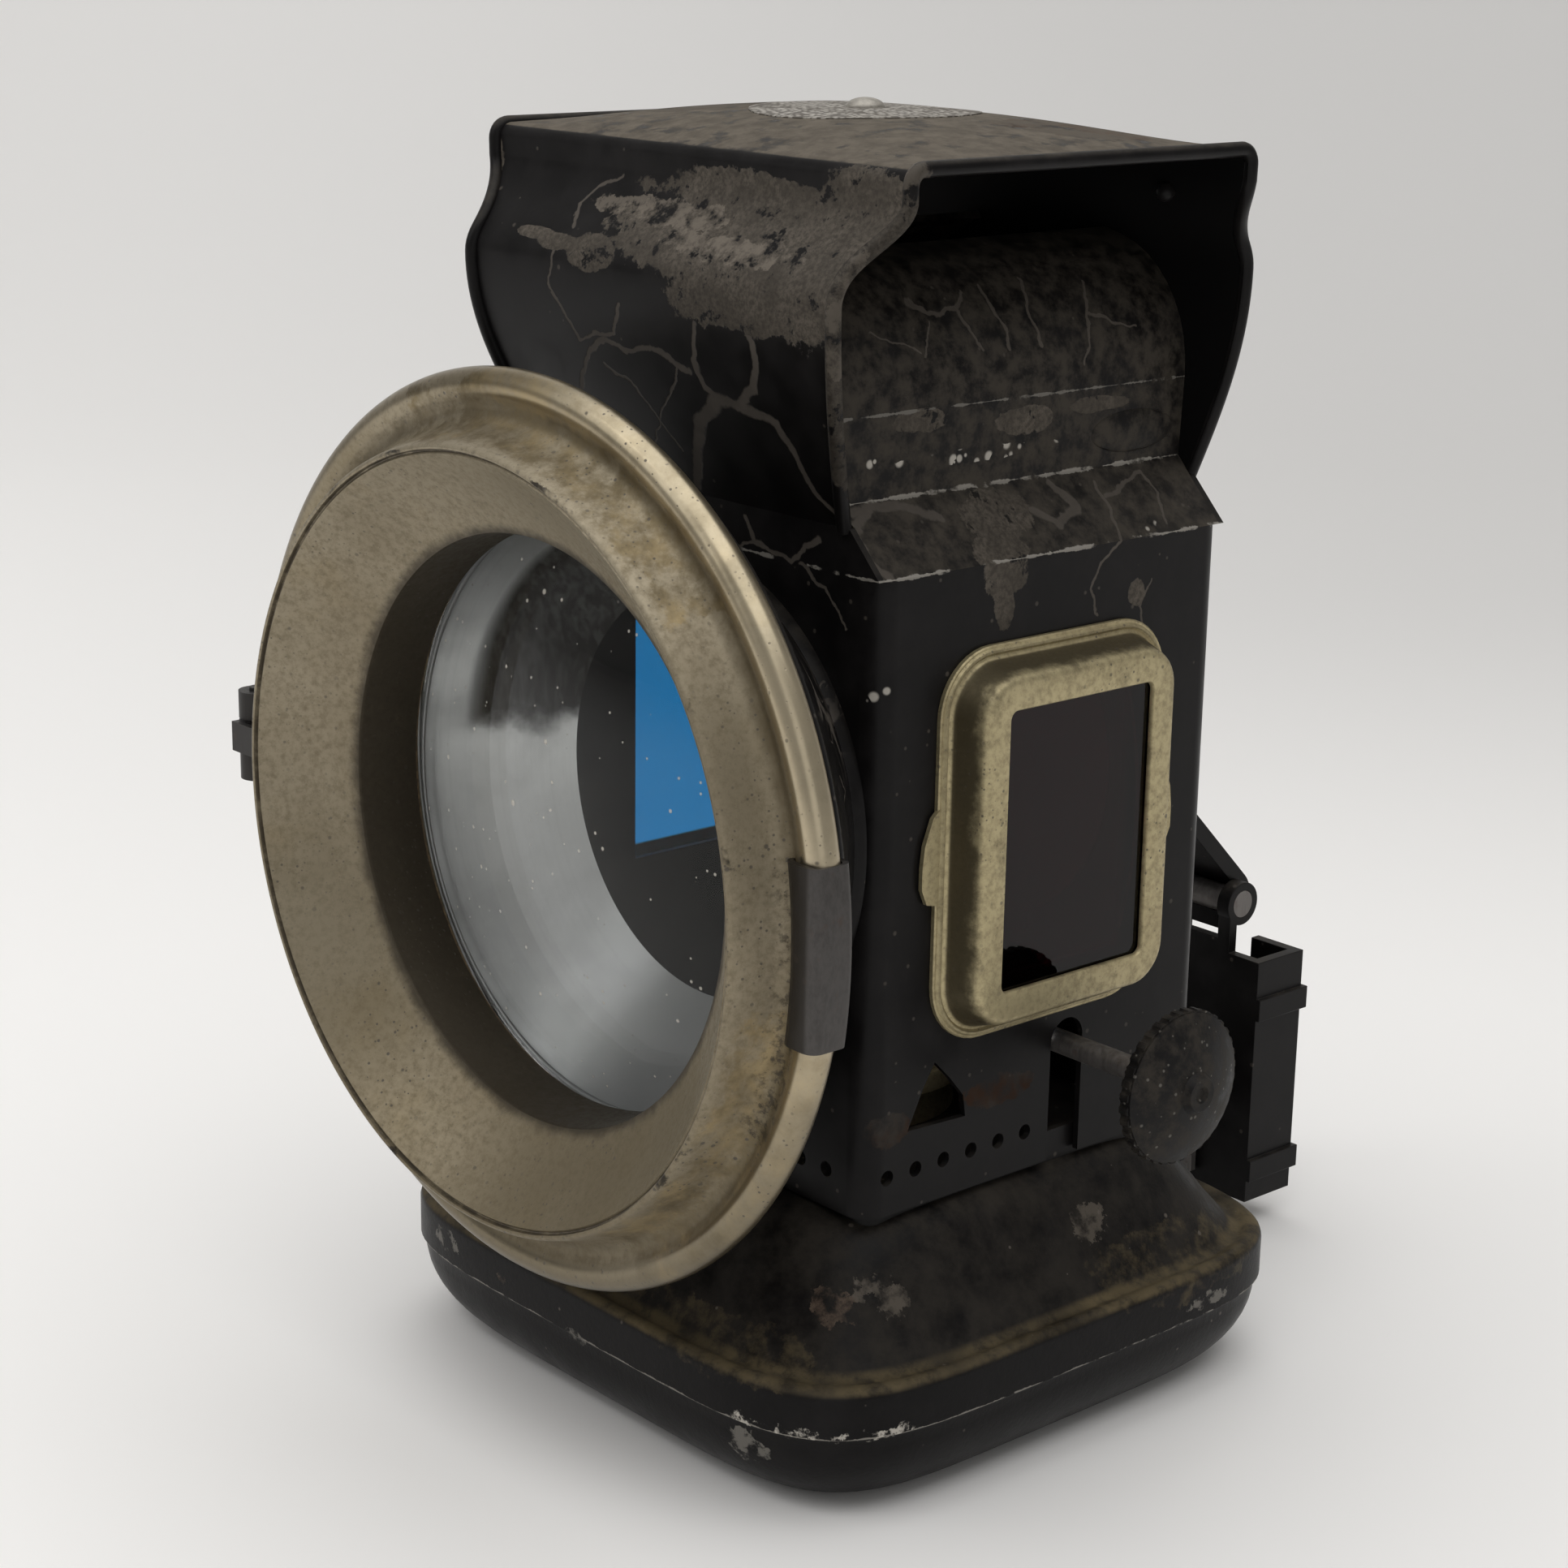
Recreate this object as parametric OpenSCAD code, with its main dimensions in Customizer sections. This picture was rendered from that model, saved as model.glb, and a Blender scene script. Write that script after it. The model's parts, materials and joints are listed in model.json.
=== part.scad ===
// Bicycle oil lamp: oil tank with burner, lift-off case with hood and windows, hinged front door,
// and a swinging socket at the back that drops over a cycle's lamp bracket.
// Millimetres. The lamp faces -Y, Z is up. The origin is the centre of the tank's underside.

/* [Overall] */
// Thickness of the case, hood and tank sheet
sheet = 0.8; // [0.5:0.1:1.2]
// Facets on round parts
round_steps = 64; // [48:4:96]

/* [Tank] */
// Width of the oil tank across X
tank_width = 85; // [70:0.5:100]
// Depth of the oil tank along Y
tank_depth = 81; // [70:0.5:100]
// Squareness of the tank's plan, 2 is an ellipse
tank_power = 5.3; // [3:0.1:9]
// Height of the seam between pan and cover
tank_seam_z = 10.8; // [8:0.1:14]
// Height of the top of the upright lip
tank_lip_z = 16.3; // [14:0.1:20]
// Height of the flat top of the tank
tank_top_z = 29.8; // [25:0.1:32]
// How far the underside is drawn in all round
tank_foot_inset = 9; // [5:0.1:14]

/* [Case] */
// Width of the case across X
case_width = 59.8; // [50:0.1:70]
// Depth of the case along Y
case_depth = 53.7; // [45:0.1:65]
// Centre of the case behind the centre of the tank
case_y = 3.25; // [0:0.05:6]
// Underside of the skirt
skirt_z = 30.1; // [28:0.1:36]
// Height of the case's upright walls from the skirt to the shoulders
case_height = 71.8; // [66:0.1:80]
// Height of the sloping shoulders
shoulder_rise = 7; // [5:0.1:9]
// Height of the upright neck
neck_height = 9.2; // [7:0.1:12]
// Half the width of the neck
neck_half = 23.1; // [18:0.1:28]

/* [Air holes] */
// Diameter of the air holes in the skirt
air_hole_d = 1.8; // [1:0.1:3]
// Spacing of the air holes
air_hole_pitch = 4.3; // [3:0.1:6]
// Height of the row of air holes
air_hole_z = 34.6; // [33:0.1:38]

/* [Hood] */
// Width of the hood's top across X
hood_width = 70.6; // [60:0.1:80]
// Front edge of the hood's top
hood_front_y = -24.9; // [-32:0.1:-20]
// Rear edge of the hood's top
hood_rear_y = 26; // [20:0.1:32]
// How far the front sheet swells beyond the top's front edge
hood_front_swell = 6.4; // [2:0.1:9]
// How far the rear sheet swells beyond the top's rear edge
hood_rear_swell = 4.9; // [2:0.1:9]
// Height of the hood's upright edge above the cove
hood_edge = 3.4; // [2:0.1:6]
// How far the top's pressed dome rises above its edges
hood_crown = 2.4; // [0.5:0.1:4]
// Height of the hood from its front seam to its top edges
hood_height = 37.8; // [34:0.1:46]

/* [Front door] */
// Height of the centre of the round front
front_z = 72; // [60:0.1:80]
// Outside diameter of the bead
bezel_d = 101; // [80:0.1:120]
// Width of the drum and bead outside the sharp front ridge
rim_width = 7.8; // [5:0.1:12]
// Width of the dished face between the ridge and the clear opening
face_width = 10.1; // [6:0.1:16]
// Distance of the bead's plane in front of the case
bead_reach = 23.7; // [20:0.1:28]
// Distance of the sharp ridge in front of the bead's plane
ridge_reach = 7.3; // [4:0.1:10]
// Depth of the dished face from the ridge to the opening
dish_depth = 8; // [4:0.1:11]
// Depth of the dark tube between the opening and the glass
cell_depth = 8; // [5:0.1:10]
// Thickness of the bezel's sheet
bezel_sheet = 1; // [0.6:0.1:1.5]

/* [Door hinge] */
// Distance of the hinge line outside the bead
hinge_offset = 3; // [2.5:0.1:6]
// Distance of the hinge line behind the bead's plane
hinge_setback = 0.3; // [0:0.05:1]
// Length of the whole hinge barrel
hinge_length = 10.8; // [8:0.1:20]
// Radius of the hinge barrel
hinge_r = 2.2; // [1.6:0.1:3]
// Radius of the hinge pin
hinge_pin_r = 0.9; // [0.6:0.05:1.4]

/* [Side windows] */
// Width of the window's opening along Y
window_width = 22.4; // [16:0.1:28]
// Height of the window's opening
window_height = 31.9; // [24:0.1:40]
// Centre of the window along Y
window_y = 2.9; // [-4:0.1:8]
// Height of the window's centre
window_z = 70.7; // [60:0.1:80]
// Width of the pressed frame around the opening
frame_border = 6; // [4:0.1:9]
// How far the frame stands out from the wall
frame_proud = 5; // [3:0.1:7]

/* [Burner] */
// Distance of the burner behind the tank's centre
burner_y = 2.4; // [0:0.1:8]
// Height of the wick spindle
spindle_z = 44.1; // [40:0.1:48]
// Radius of the wick spindle
spindle_r = 1.4; // [1:0.1:2]
// Rim plane of the knob across X
knob_x = 48; // [42:0.1:56]
// Diameter of the knob
knob_d = 17.8; // [14:0.1:22]
// Width of the flat wick
wick_width = 14; // [10:0.5:20]
// Thickness of the flat wick
wick_thick = 2.4; // [1.5:0.1:4]
// Height of the trimmed end of the wick
wick_top_z = 66; // [60:0.5:74]

/* [Bracket] */
// Inside width of the socket, for the cycle's bracket blade
socket_bore_width = 24; // [20:0.1:28]
// Inside depth of the socket, for the cycle's bracket blade
socket_bore_depth = 6; // [3:0.1:8]
// Thickness of the socket's plate
socket_plate = 1.5; // [1:0.1:2.5]
// Front face of the socket's front plate
socket_y = 61; // [55:0.1:66]
// Lower end of the socket
socket_bottom_z = 4; // [2:0.1:12]
// Upper end of the socket's sleeve
socket_top_z = 37.5; // [30:0.1:44]
// Pin the socket swings on, along Y
socket_pin_y = 63.4; // [58:0.1:68]
// Pin the socket swings on, height
socket_pin_z = 43.8; // [40:0.1:50]
// Radius of the pin the socket swings on
socket_pin_r = 1.8; // [1.2:0.1:2.5]
// Width of the arm that carries the socket
arm_width = 12; // [8:0.1:16]
// Thickness of the arm
arm_thick = 2.2; // [1.5:0.1:3]

/* [Hidden] */
// Running clearance of pins in their bores
run = 0.05;
// Air between pieces that move past each other
air = 0.3;

shoulder_z = skirt_z + case_height;
neck_z = shoulder_z + shoulder_rise;
neck_top_z = neck_z + neck_height;
hood_seam_z = shoulder_z + 0.7 * shoulder_rise;
hood_top_z = hood_seam_z + hood_height;
case_half = case_width / 2;
case_front = case_y - case_depth / 2;
case_rear = case_y + case_depth / 2;
case_corner_r = 3;
tank_half_x = tank_width / 2;
tank_half_y = tank_depth / 2;
tank_steps = 72;
bead_tube_r = 1.9;
bead_ring_r = bezel_d / 2 - bead_tube_r;
bead_y = case_front - bead_reach;
ridge_r = bezel_d / 2 - rim_width;
ridge_y = bead_y - ridge_reach;
aperture_r = ridge_r - face_width;
aperture_y = ridge_y + dish_depth;
hinge_x = -bezel_d / 2 - hinge_offset;
hinge_y = bead_y + hinge_setback;
glass_y = aperture_y + cell_depth;
glass_r = aperture_r + 1.6;
glass_thick = 2.6;
glass_rise = 4.6;
cup_r = glass_r + 0.3;
cup_end_y = glass_y + 4;
flare_large_r = bead_ring_r - 2.2;
flare_rim_r = 1.2;
flare_rim_y = bead_y + bead_tube_r + air + flare_rim_r;
liner_sheet = 0.5;
// The cone clears the end of the glass cup by this much
cup_air = 0.65;
flare_at_cup_r = cup_r + bezel_sheet + cup_air + 1.4 * (sheet + liner_sheet);
flare_slope = (flare_large_r - flare_at_cup_r) / (cup_end_y - flare_rim_y);
flare_small_r = flare_large_r - flare_slope * (case_front - flare_rim_y);
hood_half = hood_width / 2;
hood_swell_half = hood_half - 4;
hood_cove_z = hood_top_z - hood_edge;
hood_swell_z = hood_seam_z + 0.64 * (hood_top_z - hood_seam_z);
chimney_bend_r = 16;
hood_seam_half = case_half - (hood_seam_z - shoulder_z) / (neck_z - shoulder_z) * (case_half - neck_half);
pane_thick = 1.8;
pane_x = case_half + frame_proud - sheet - pane_thick;
slot_width = 5.2;
worn_port_z = air_hole_z + 4.4;
slot_top_z = spindle_z + 2.9;
collar_r = 12;
collar_top_z = tank_top_z + 4.5;
wheel_r = 3.2;
wheel_y = burner_y + wick_thick / 2 + wheel_r + 0.35;
slot_y = wheel_y + 0.5;
socket_half = socket_bore_width / 2 + socket_plate;
socket_rear = socket_y + socket_bore_depth + 2 * socket_plate;
socket_lip = 7.7;
tongue_half = 8.3;
eye_width = tongue_half - arm_width / 2 - air;
eye_r = socket_pin_r + 1.1;
hook_inner_r = socket_pin_r + run;
hook_mid_r = hook_inner_r + arm_thick / 2;

japan = [0.12, 0.115, 0.115];
nickel = [0.62, 0.58, 0.49];
brassy = [0.62, 0.56, 0.38];
steel = [0.36, 0.34, 0.32];
brass = [0.60, 0.48, 0.26];
silver = [0.75, 0.75, 0.74];
dusty = [0.30, 0.28, 0.26];

// Eased step from 0 to 1
function ease(t) = 0.5 - 0.5 * cos(180 * max(0, min(1, t)));

// Point of the tank's plan at an angle, drawn in by an inset
function plan_point(angle, inset) =
    let (c = abs(cos(angle)) / (tank_half_x - inset))
    let (s = abs(sin(angle)) / (tank_half_y - inset))
    let (r = pow(pow(c, tank_power) + pow(s, tank_power), -1 / tank_power))
    [r * cos(angle), r * sin(angle)];

// Points of one ring: [inset, z] follows the tank's plan, [radius, z, y] is a circle centred at y
function ring_points(ring) =
    [for (i = [0:tank_steps - 1])
        let (angle = 360 * i / tank_steps)
        let (circle_point = [ring[0] * cos(angle), ring[2] + ring[0] * sin(angle)])
        let (p = len(ring) == 3 ? circle_point : plan_point(angle, ring[0]))
        [p[0], p[1], ring[1]]];

// Solid lofted through rings, with flat ends, or joined end to end when closed
module tank_loft(rings, closed = false) {
    n = tank_steps;
    count = len(rings);
    bands = closed ? count : count - 1;
    hub = [tank_half_x / 2, tank_half_y / 2];
    hubs = [[hub[0], hub[1], rings[0][1]], [hub[0], hub[1], rings[count - 1][1]]];
    points = concat([for (ring = rings) each ring_points(ring)], closed ? [] : hubs);
    lower = [for (k = [0:bands - 1]) for (i = [0:n - 1])
        [k * n + i, (k + 1) % count * n + i, k * n + (i + 1) % n]];
    upper = [for (k = [0:bands - 1]) for (i = [0:n - 1])
        [(k + 1) % count * n + i, (k + 1) % count * n + (i + 1) % n, k * n + (i + 1) % n]];
    first_end = [for (i = [0:n - 1]) [i, (i + 1) % n, count * n]];
    last_end = [for (i = [0:n - 1]) [(count - 1) * n + (i + 1) % n, (count - 1) * n + i, count * n + 1]];
    ends = closed ? [] : concat(first_end, last_end);
    polyhedron(points = points, faces = concat(lower, upper, ends), convexity = 4);
}

function reversed(list) = [for (i = [len(list) - 1:-1:0]) list[i]];

// Rings of the rounded pan from its underside to the seam, outside, or inside with a wall thickness
function pan_rings(wall) = concat(
    [for (k = [0:5])
        let (a = 90 - 15 * k)
        let (drop = (tank_seam_z - 0.6 - wall) * sin(a))
        [0.5 + wall + (tank_foot_inset - wall) * (1 - cos(a)), tank_seam_z - 0.6 - drop]],
    [[0.5 + wall, tank_seam_z]]);

// Rings of the cover from the seam over the lip and up the pillow
function cover_rings(wall) = [
    [wall, tank_seam_z],
    [wall, tank_lip_z - 0.8 - wall / 2],
    [0.4 + wall, tank_lip_z - wall / 2],
    [1.2 + wall, tank_lip_z + 0.4 - wall],
    [3 + wall, tank_lip_z + 0.9 - wall],
    [5.4 + wall, tank_lip_z + 3 - wall],
    [8.2 + wall, tank_lip_z + 7.4 - wall],
    [10.8 + wall, tank_top_z - 2.4 - wall],
    [13.4 + wall, tank_top_z - 0.6 - wall],
    [16.5 + wall, tank_top_z - wall]];

module tank_pan() {
    color(japan)
        tank_loft(concat(pan_rings(0), reversed(pan_rings(sheet))));
}

// The cover's inner and outer skins meet round the filler hole and at the seam
module tank_cover() {
    hole_r = collar_r - 1.5;
    filler_hole = [[hole_r, tank_top_z, burner_y], [hole_r, tank_top_z - sheet, burner_y]];
    color(japan)
        tank_loft(concat(cover_rings(0), filler_hole, reversed(cover_rings(sheet))), closed = true);
}

// Rounded rectangle standing for a sheet outline, by its edges
module rounded_box(x0, x1, y0, y1, r, h) {
    linear_extrude(height = h)
    union() {
        translate([x0 + r, y0])
            square([x1 - x0 - 2 * r, y1 - y0]);
        translate([x0, y0 + r])
            square([x1 - x0, y1 - y0 - 2 * r]);
        for (x = [x0 + r, x1 - r])
            for (y = [y0 + r, y1 - r])
                translate([x, y])
                    circle(r = r, $fn = 32);
    }
}

// Upright rim on the tank that the skirt drops over, its foot following the pillow
module locating_rim() {
    reach = case_half - sheet - air;
    front = case_front + sheet + air;
    rear = case_rear - sheet - air;
    foot_z = tank_lip_z + 2;
    color(japan)
    difference() {
        translate([0, 0, foot_z])
            rounded_box(-reach, reach, front, rear, 2.5, skirt_z + 3 - foot_z);
        translate([0, 0, foot_z - 1])
            rounded_box(-reach + sheet, reach - sheet, front + sheet, rear - sheet, 1.7,
                        skirt_z + 5 - foot_z);
        tank_loft(cover_rings(0));
    }
}

module burner_collar() {
    color(brass)
    translate([0, burner_y, tank_top_z])
    difference() {
        cylinder(r = collar_r, h = collar_top_z - tank_top_z, $fn = round_steps);
        translate([0, 0, -1])
            cylinder(r = collar_r - 1.5, h = 2 * (collar_top_z - tank_top_z), $fn = round_steps);
    }
}

// Screwed cap with a milled rim, closing the collar and carrying the wick tube
module burner_cap() {
    color(brass)
    translate([0, burner_y, collar_top_z])
    difference() {
        union() {
            cylinder(r = collar_r + 1.6, h = 2.4, $fn = round_steps);
            translate([0, 0, -4])
                cylinder(r = collar_r - 1.5, h = 4, $fn = round_steps);
            translate([0, 0, 2.4])
                cylinder(r1 = collar_r - 1, r2 = 9.4, h = 1.6, $fn = round_steps);
        }
        translate([0, 0, -5])
            cylinder(r = collar_r - 2.5, h = 5, $fn = round_steps);
        translate([-wick_width / 2 - 0.9, -wick_thick / 2 - 0.9, -6])
            cube([wick_width + 1.8, wick_thick + 1.8, 14]);
    }
}

// Flat brass tube that guides the wick, with openings where the spur wheels reach in
module wick_tube() {
    low = tank_top_z - 6;
    high = wick_top_z - 3;
    color(brass)
    translate([0, burner_y, 0])
    difference() {
        translate([-wick_width / 2 - 0.9, -wick_thick / 2 - 0.9, low])
            cube([wick_width + 1.8, wick_thick + 1.8, high - low]);
        translate([-wick_width / 2 - 0.35, -wick_thick / 2 - 0.35, low - 1])
            cube([wick_width + 0.7, wick_thick + 0.7, high - low + 2]);
        translate([-wick_width / 2 + 0.4, 0, spindle_z - 4.2])
            cube([wick_width - 0.8, wick_thick + 4, 8.4]);
    }
}

// Cradle behind the wick tube that carries the spindle
module wheel_housing() {
    wall = 1;
    reach = wick_width / 2 + 0.9;
    back = wheel_y + wheel_r + 1.6;
    front = burner_y + wick_thick / 2 + 0.9;
    base = collar_top_z + 4;
    color(brass)
    difference() {
        translate([-reach - wall, front, base])
            cube([2 * (reach + wall), back - front, spindle_z + 3.6 - base]);
        translate([-reach, front - 1, base + wall])
            cube([2 * reach, back - front + 1 - wall, 20]);
        translate([-reach - 3, wheel_y, spindle_z])
            rotate([0, 90, 0])
                cylinder(r = spindle_r + run, h = 2 * reach + 6, $fn = 32);
    }
}

module wick_spindle() {
    start = -wick_width / 2 - 2.4;
    color(steel)
    translate([start, wheel_y, spindle_z])
    rotate([0, 90, 0])
        cylinder(r = spindle_r, h = knob_x - start, $fn = 32);
}

// Two toothed wheels that grip the wick
module spur_wheels() {
    color(brass)
    for (x = [-wick_width / 4, wick_width / 4])
        translate([x - 0.8, wheel_y, spindle_z])
        rotate([0, 90, 0])
        difference() {
            cylinder(r = wheel_r, h = 1.6, $fn = round_steps);
            translate([0, 0, -1])
                cylinder(r = spindle_r, h = 4, $fn = 32);
            for (a = [15:30:345])
                rotate([0, 0, a])
                translate([wheel_r + 0.15, 0, -1])
                    cylinder(r = 0.6, h = 4, $fn = 16);
        }
}

// Height of the knob's dome and the ball it is cut from
knob_crown = 2.3;
knob_ball_r = (pow(knob_d / 2, 2) + knob_crown * knob_crown) / (2 * knob_crown);

// Domed knob with a hub, a milled rim and a seat for the end of the spindle
module wick_knob() {
    r = knob_d / 2;
    color(dusty)
    translate([knob_x, wheel_y, spindle_z])
    rotate([0, 90, 0])
    difference() {
        union() {
            translate([0, 0, -1.2])
            difference() {
                cylinder(r = r, h = 1.2, $fn = round_steps);
                for (a = [0:10:350])
                    rotate([0, 0, a])
                    translate([r + 0.25, 0, -1])
                        cylinder(r = 0.5, h = 4, $fn = 16);
            }
            intersection() {
                cylinder(r = r - 0.3, h = knob_crown, $fn = round_steps);
                translate([0, 0, knob_crown - knob_ball_r])
                    sphere(r = knob_ball_r, $fn = round_steps);
            }
            translate([0, 0, -4.2])
                cylinder(r1 = spindle_r + 0.9, r2 = spindle_r + 1.6, h = 3, $fn = 32);
        }
        translate([0, 0, -10])
            cylinder(r = spindle_r, h = 10, $fn = 32);
    }
}

// Height of the knob's dome at a distance from its middle
function knob_dome(r) = knob_crown - knob_ball_r + sqrt(knob_ball_r * knob_ball_r - r * r);

// Burred-over end of the spindle, showing in the middle of the knob
module knob_rivet() {
    foot_r = 2.4;
    top = knob_crown + 0.7;
    color(dusty)
    translate([knob_x, wheel_y, spindle_z])
    rotate([0, 90, 0])
    rotate_extrude($fn = 32)
        polygon(concat([for (k = [0:4]) [foot_r * k / 4, knob_dome(foot_r * k / 4)]],
                       [[foot_r - 0.5, top], [1, top], [0.6, top - 0.4], [0, top - 0.4]]));
}

module wick() {
    low = 3;
    color([0.82, 0.78, 0.68])
    translate([-wick_width / 2, burner_y - wick_thick / 2, low])
        cube([wick_width, wick_thick, wick_top_z - low]);
}

// Front or rear plate between the shoulders, narrowing up to the hood's seam
module end_plate(y) {
    translate([0, y + sheet, 0])
    rotate([90, 0, 0])
    linear_extrude(height = sheet)
        polygon([[-case_half, shoulder_z], [case_half, shoulder_z],
                 [hood_seam_half, hood_seam_z], [-hood_seam_half, hood_seam_z]]);
}

// Rows of air holes through both side walls, left out around the spindle's slot
module side_air_holes() {
    first = case_front + 3.4;
    for (k = [0:10])
        let (y = first + k * air_hole_pitch)
        if (y < slot_y - slot_width / 2 - air_hole_d || y > slot_y + slot_width / 2 + air_hole_pitch)
            translate([0, y, air_hole_z])
            rotate([0, 90, 0])
                cylinder(d = air_hole_d, h = case_width + 10, center = true, $fn = 16);
}

module front_air_holes() {
    for (k = [0:5])
        for (side = [-1, 1])
            translate([side * (k + 0.5) * air_hole_pitch, case_front, air_hole_z])
            rotate([90, 0, 0])
                cylinder(d = air_hole_d, h = 10, center = true, $fn = 16);
}

// Ragged port worn through the right wall above the air holes
module worn_port() {
    translate([case_half - 5, case_front, worn_port_z])
    rotate([90, 0, 90])
    linear_extrude(height = 10)
        polygon([[6.3, 0.4], [15.2, 0], [14.8, 2.6], [12.6, 5.2], [10.2, 7.6], [8.6, 5]]);
}

// Heights of the rivets through the rear wall
arm_foot_z = 80;
arm_foot_length = 18;
arm_rivet_z = [arm_foot_z + arm_foot_length * 0.28, arm_foot_z + arm_foot_length * 0.72];
buffer_foot_z = 38;
buffer_foot_length = 13;
buffer_rivet_z = [buffer_foot_z + buffer_foot_length * 0.3, buffer_foot_z + buffer_foot_length * 0.7];
rivet_r = 1;

module rivet_holes(heights) {
    for (z = heights)
        translate([0, case_rear - 5, z])
        rotate([-90, 0, 0])
            cylinder(r = rivet_r, h = 10, $fn = 24);
}

// Rivets with a round head outside a strap and a flat head inside the wall
module wall_rivets(heights, strap) {
    for (z = heights)
        translate([0, case_rear, z])
        rotate([-90, 0, 0]) {
            translate([0, 0, -sheet])
                cylinder(r = rivet_r, h = sheet + strap, $fn = 24);
            translate([0, 0, -sheet - 0.6])
                cylinder(r = 1.9, h = 0.6, $fn = 24);
            translate([0, 0, strap])
            intersection() {
                cylinder(r = 1.9, h = 1.2, $fn = 24);
                translate([0, 0, -0.9])
                    sphere(r = 2.1, $fn = 24);
            }
        }
}

// Four upright walls with the skirt, the windows' openings, the round front and the spindle's slot
module case_shell() {
    color(japan)
    difference() {
        union() {
            translate([0, 0, skirt_z])
            difference() {
                rounded_box(-case_half, case_half, case_front, case_rear, case_corner_r, shoulder_z - skirt_z);
                translate([0, 0, -1])
                    rounded_box(-case_half + sheet, case_half - sheet, case_front + sheet, case_rear - sheet,
                                case_corner_r - sheet, shoulder_z - skirt_z + 2);
            }
            end_plate(case_front);
            end_plate(case_rear - sheet);
        }
        translate([0, case_front, front_z])
        rotate([90, 0, 0])
            cylinder(r = flare_small_r - sheet, h = 10, center = true, $fn = round_steps);
        translate([-case_half - 5, window_y - window_width / 2, window_z - window_height / 2])
            cube([case_width + 10, window_width, window_height]);
        translate([case_half - 5, slot_y - slot_width / 2, skirt_z - 1])
            cube([10, slot_width, slot_top_z - slot_width / 2 - skirt_z + 1]);
        translate([case_half - 5, slot_y, slot_top_z - slot_width / 2])
        rotate([0, 90, 0])
            cylinder(d = slot_width, h = 10, $fn = 32);
        side_air_holes();
        front_air_holes();
        worn_port();
        rivet_holes(arm_rivet_z);
        rivet_holes(buffer_rivet_z);
    }
}

// Bends a flat outline of the right side, drawn across X and Z, out to the hood's front and rear sheets
module between_hood_sheets() {
    intersection() {
        translate([0, hood_rear_y + 10, 0])
        rotate([90, 0, 0])
        linear_extrude(height = hood_rear_y - hood_front_y + 20)
            children();
        hood_inside();
    }
}

// Sloping shoulder and upright neck on one side
module shoulder() {
    slope = [case_half - neck_half, neck_z - shoulder_z];
    lift = sheet * slope[0] / norm(slope);
    between_hood_sheets()
        polygon([[case_half, shoulder_z], [neck_half, neck_z], [neck_half, neck_top_z],
                 [neck_half - sheet, neck_top_z], [neck_half - sheet, neck_z - lift * 0.4],
                 [case_half - sheet * 1.4, shoulder_z]]);
}

module shoulder_right() {
    color(japan)
        shoulder();
}

module shoulder_left() {
    color(japan)
    mirror([1, 0, 0])
        shoulder();
}

// Curved roof sheet above the neck, leaning in towards the vent slot in the middle
module chimney_roof() {
    bend_r = chimney_bend_r;
    lean = 78;
    between_hood_sheets()
        polygon(concat(
            [for (k = [0:10])
                let (a = lean * k / 10)
                [neck_half - bend_r + bend_r * cos(a), neck_top_z + bend_r * sin(a)]],
            [for (k = [10:-1:0])
                let (a = lean * k / 10)
                [neck_half - bend_r + (bend_r - sheet) * cos(a), neck_top_z + (bend_r - sheet) * sin(a)]]));
}

module chimney_right() {
    color(japan)
        chimney_roof();
}

module chimney_left() {
    color(japan)
    mirror([1, 0, 0])
        chimney_roof();
}

// How far a hood sheet stands out from its top edge at a height
function swell(z, amount, wall_step) =
    z >= hood_swell_z
        ? amount * ease((hood_cove_z - z) / (hood_cove_z - hood_swell_z))
        : wall_step + (amount - wall_step) * sin(90 * (z - hood_seam_z) / (hood_swell_z - hood_seam_z));

// Half width of the hood at a height
function hood_reach(z) =
    z >= hood_swell_z
        ? hood_half - (hood_half - hood_swell_half) * ease((hood_cove_z + 0.6 - z) / (hood_cove_z - hood_swell_z - 2))
        : hood_seam_half + (hood_swell_half - hood_seam_half)
            * sin(90 * (z - hood_seam_z) / (hood_swell_z - hood_seam_z));

hood_levels = concat([for (k = [0:8]) hood_seam_z + k * (hood_swell_z - hood_seam_z) / 8],
                     [for (k = [1:10]) hood_swell_z + k * (hood_cove_z - hood_swell_z) / 10]);
hood_edge_r = 1.6;
hood_mid_y = (hood_front_y + hood_rear_y) / 2;
hood_dome_r = (hood_rear_y - hood_front_y) / 2 - hood_edge_r - 0.4;

// Closed outline of the hood, front sheet, top and rear sheet, as seen from the side
function hood_outline(inset) =
    let (front_step = hood_front_y - case_front)
    let (rear_step = case_rear - hood_rear_y)
    let (top = hood_top_z - inset)
    concat(
        [for (z = hood_levels) [hood_front_y - swell(z, hood_front_swell, front_step) + inset, z]],
        [for (a = [0:15:90])
            [hood_front_y + hood_edge_r - (hood_edge_r - inset) * cos(a),
             top - (hood_edge_r - inset) * (1 - sin(a))]],
        [for (a = [90:-15:0])
            [hood_rear_y - hood_edge_r + (hood_edge_r - inset) * cos(a),
             top - (hood_edge_r - inset) * (1 - sin(a))]],
        [for (k = [len(hood_levels) - 1:-1:0])
            let (z = hood_levels[k])
            [hood_rear_y + swell(z, hood_rear_swell, rear_step) - inset, z]]);

// Height of the pressed dome above the hood's flat top, at a distance from its middle
function dome_rise(r) = hood_crown * (1 - pow(r / hood_dome_r, 2));

// Shallow dome pressed up out of the hood's top, standing on a plug that reaches below it
module hood_dome(plug) {
    translate([0, hood_mid_y, hood_top_z])
    rotate_extrude($fn = round_steps)
        polygon(concat([[0, -plug]], [[hood_dome_r, -plug]],
                       [for (k = [8:-1:0]) let (r = hood_dome_r * k / 8) [r, dome_rise(r)]]));
}

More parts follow.
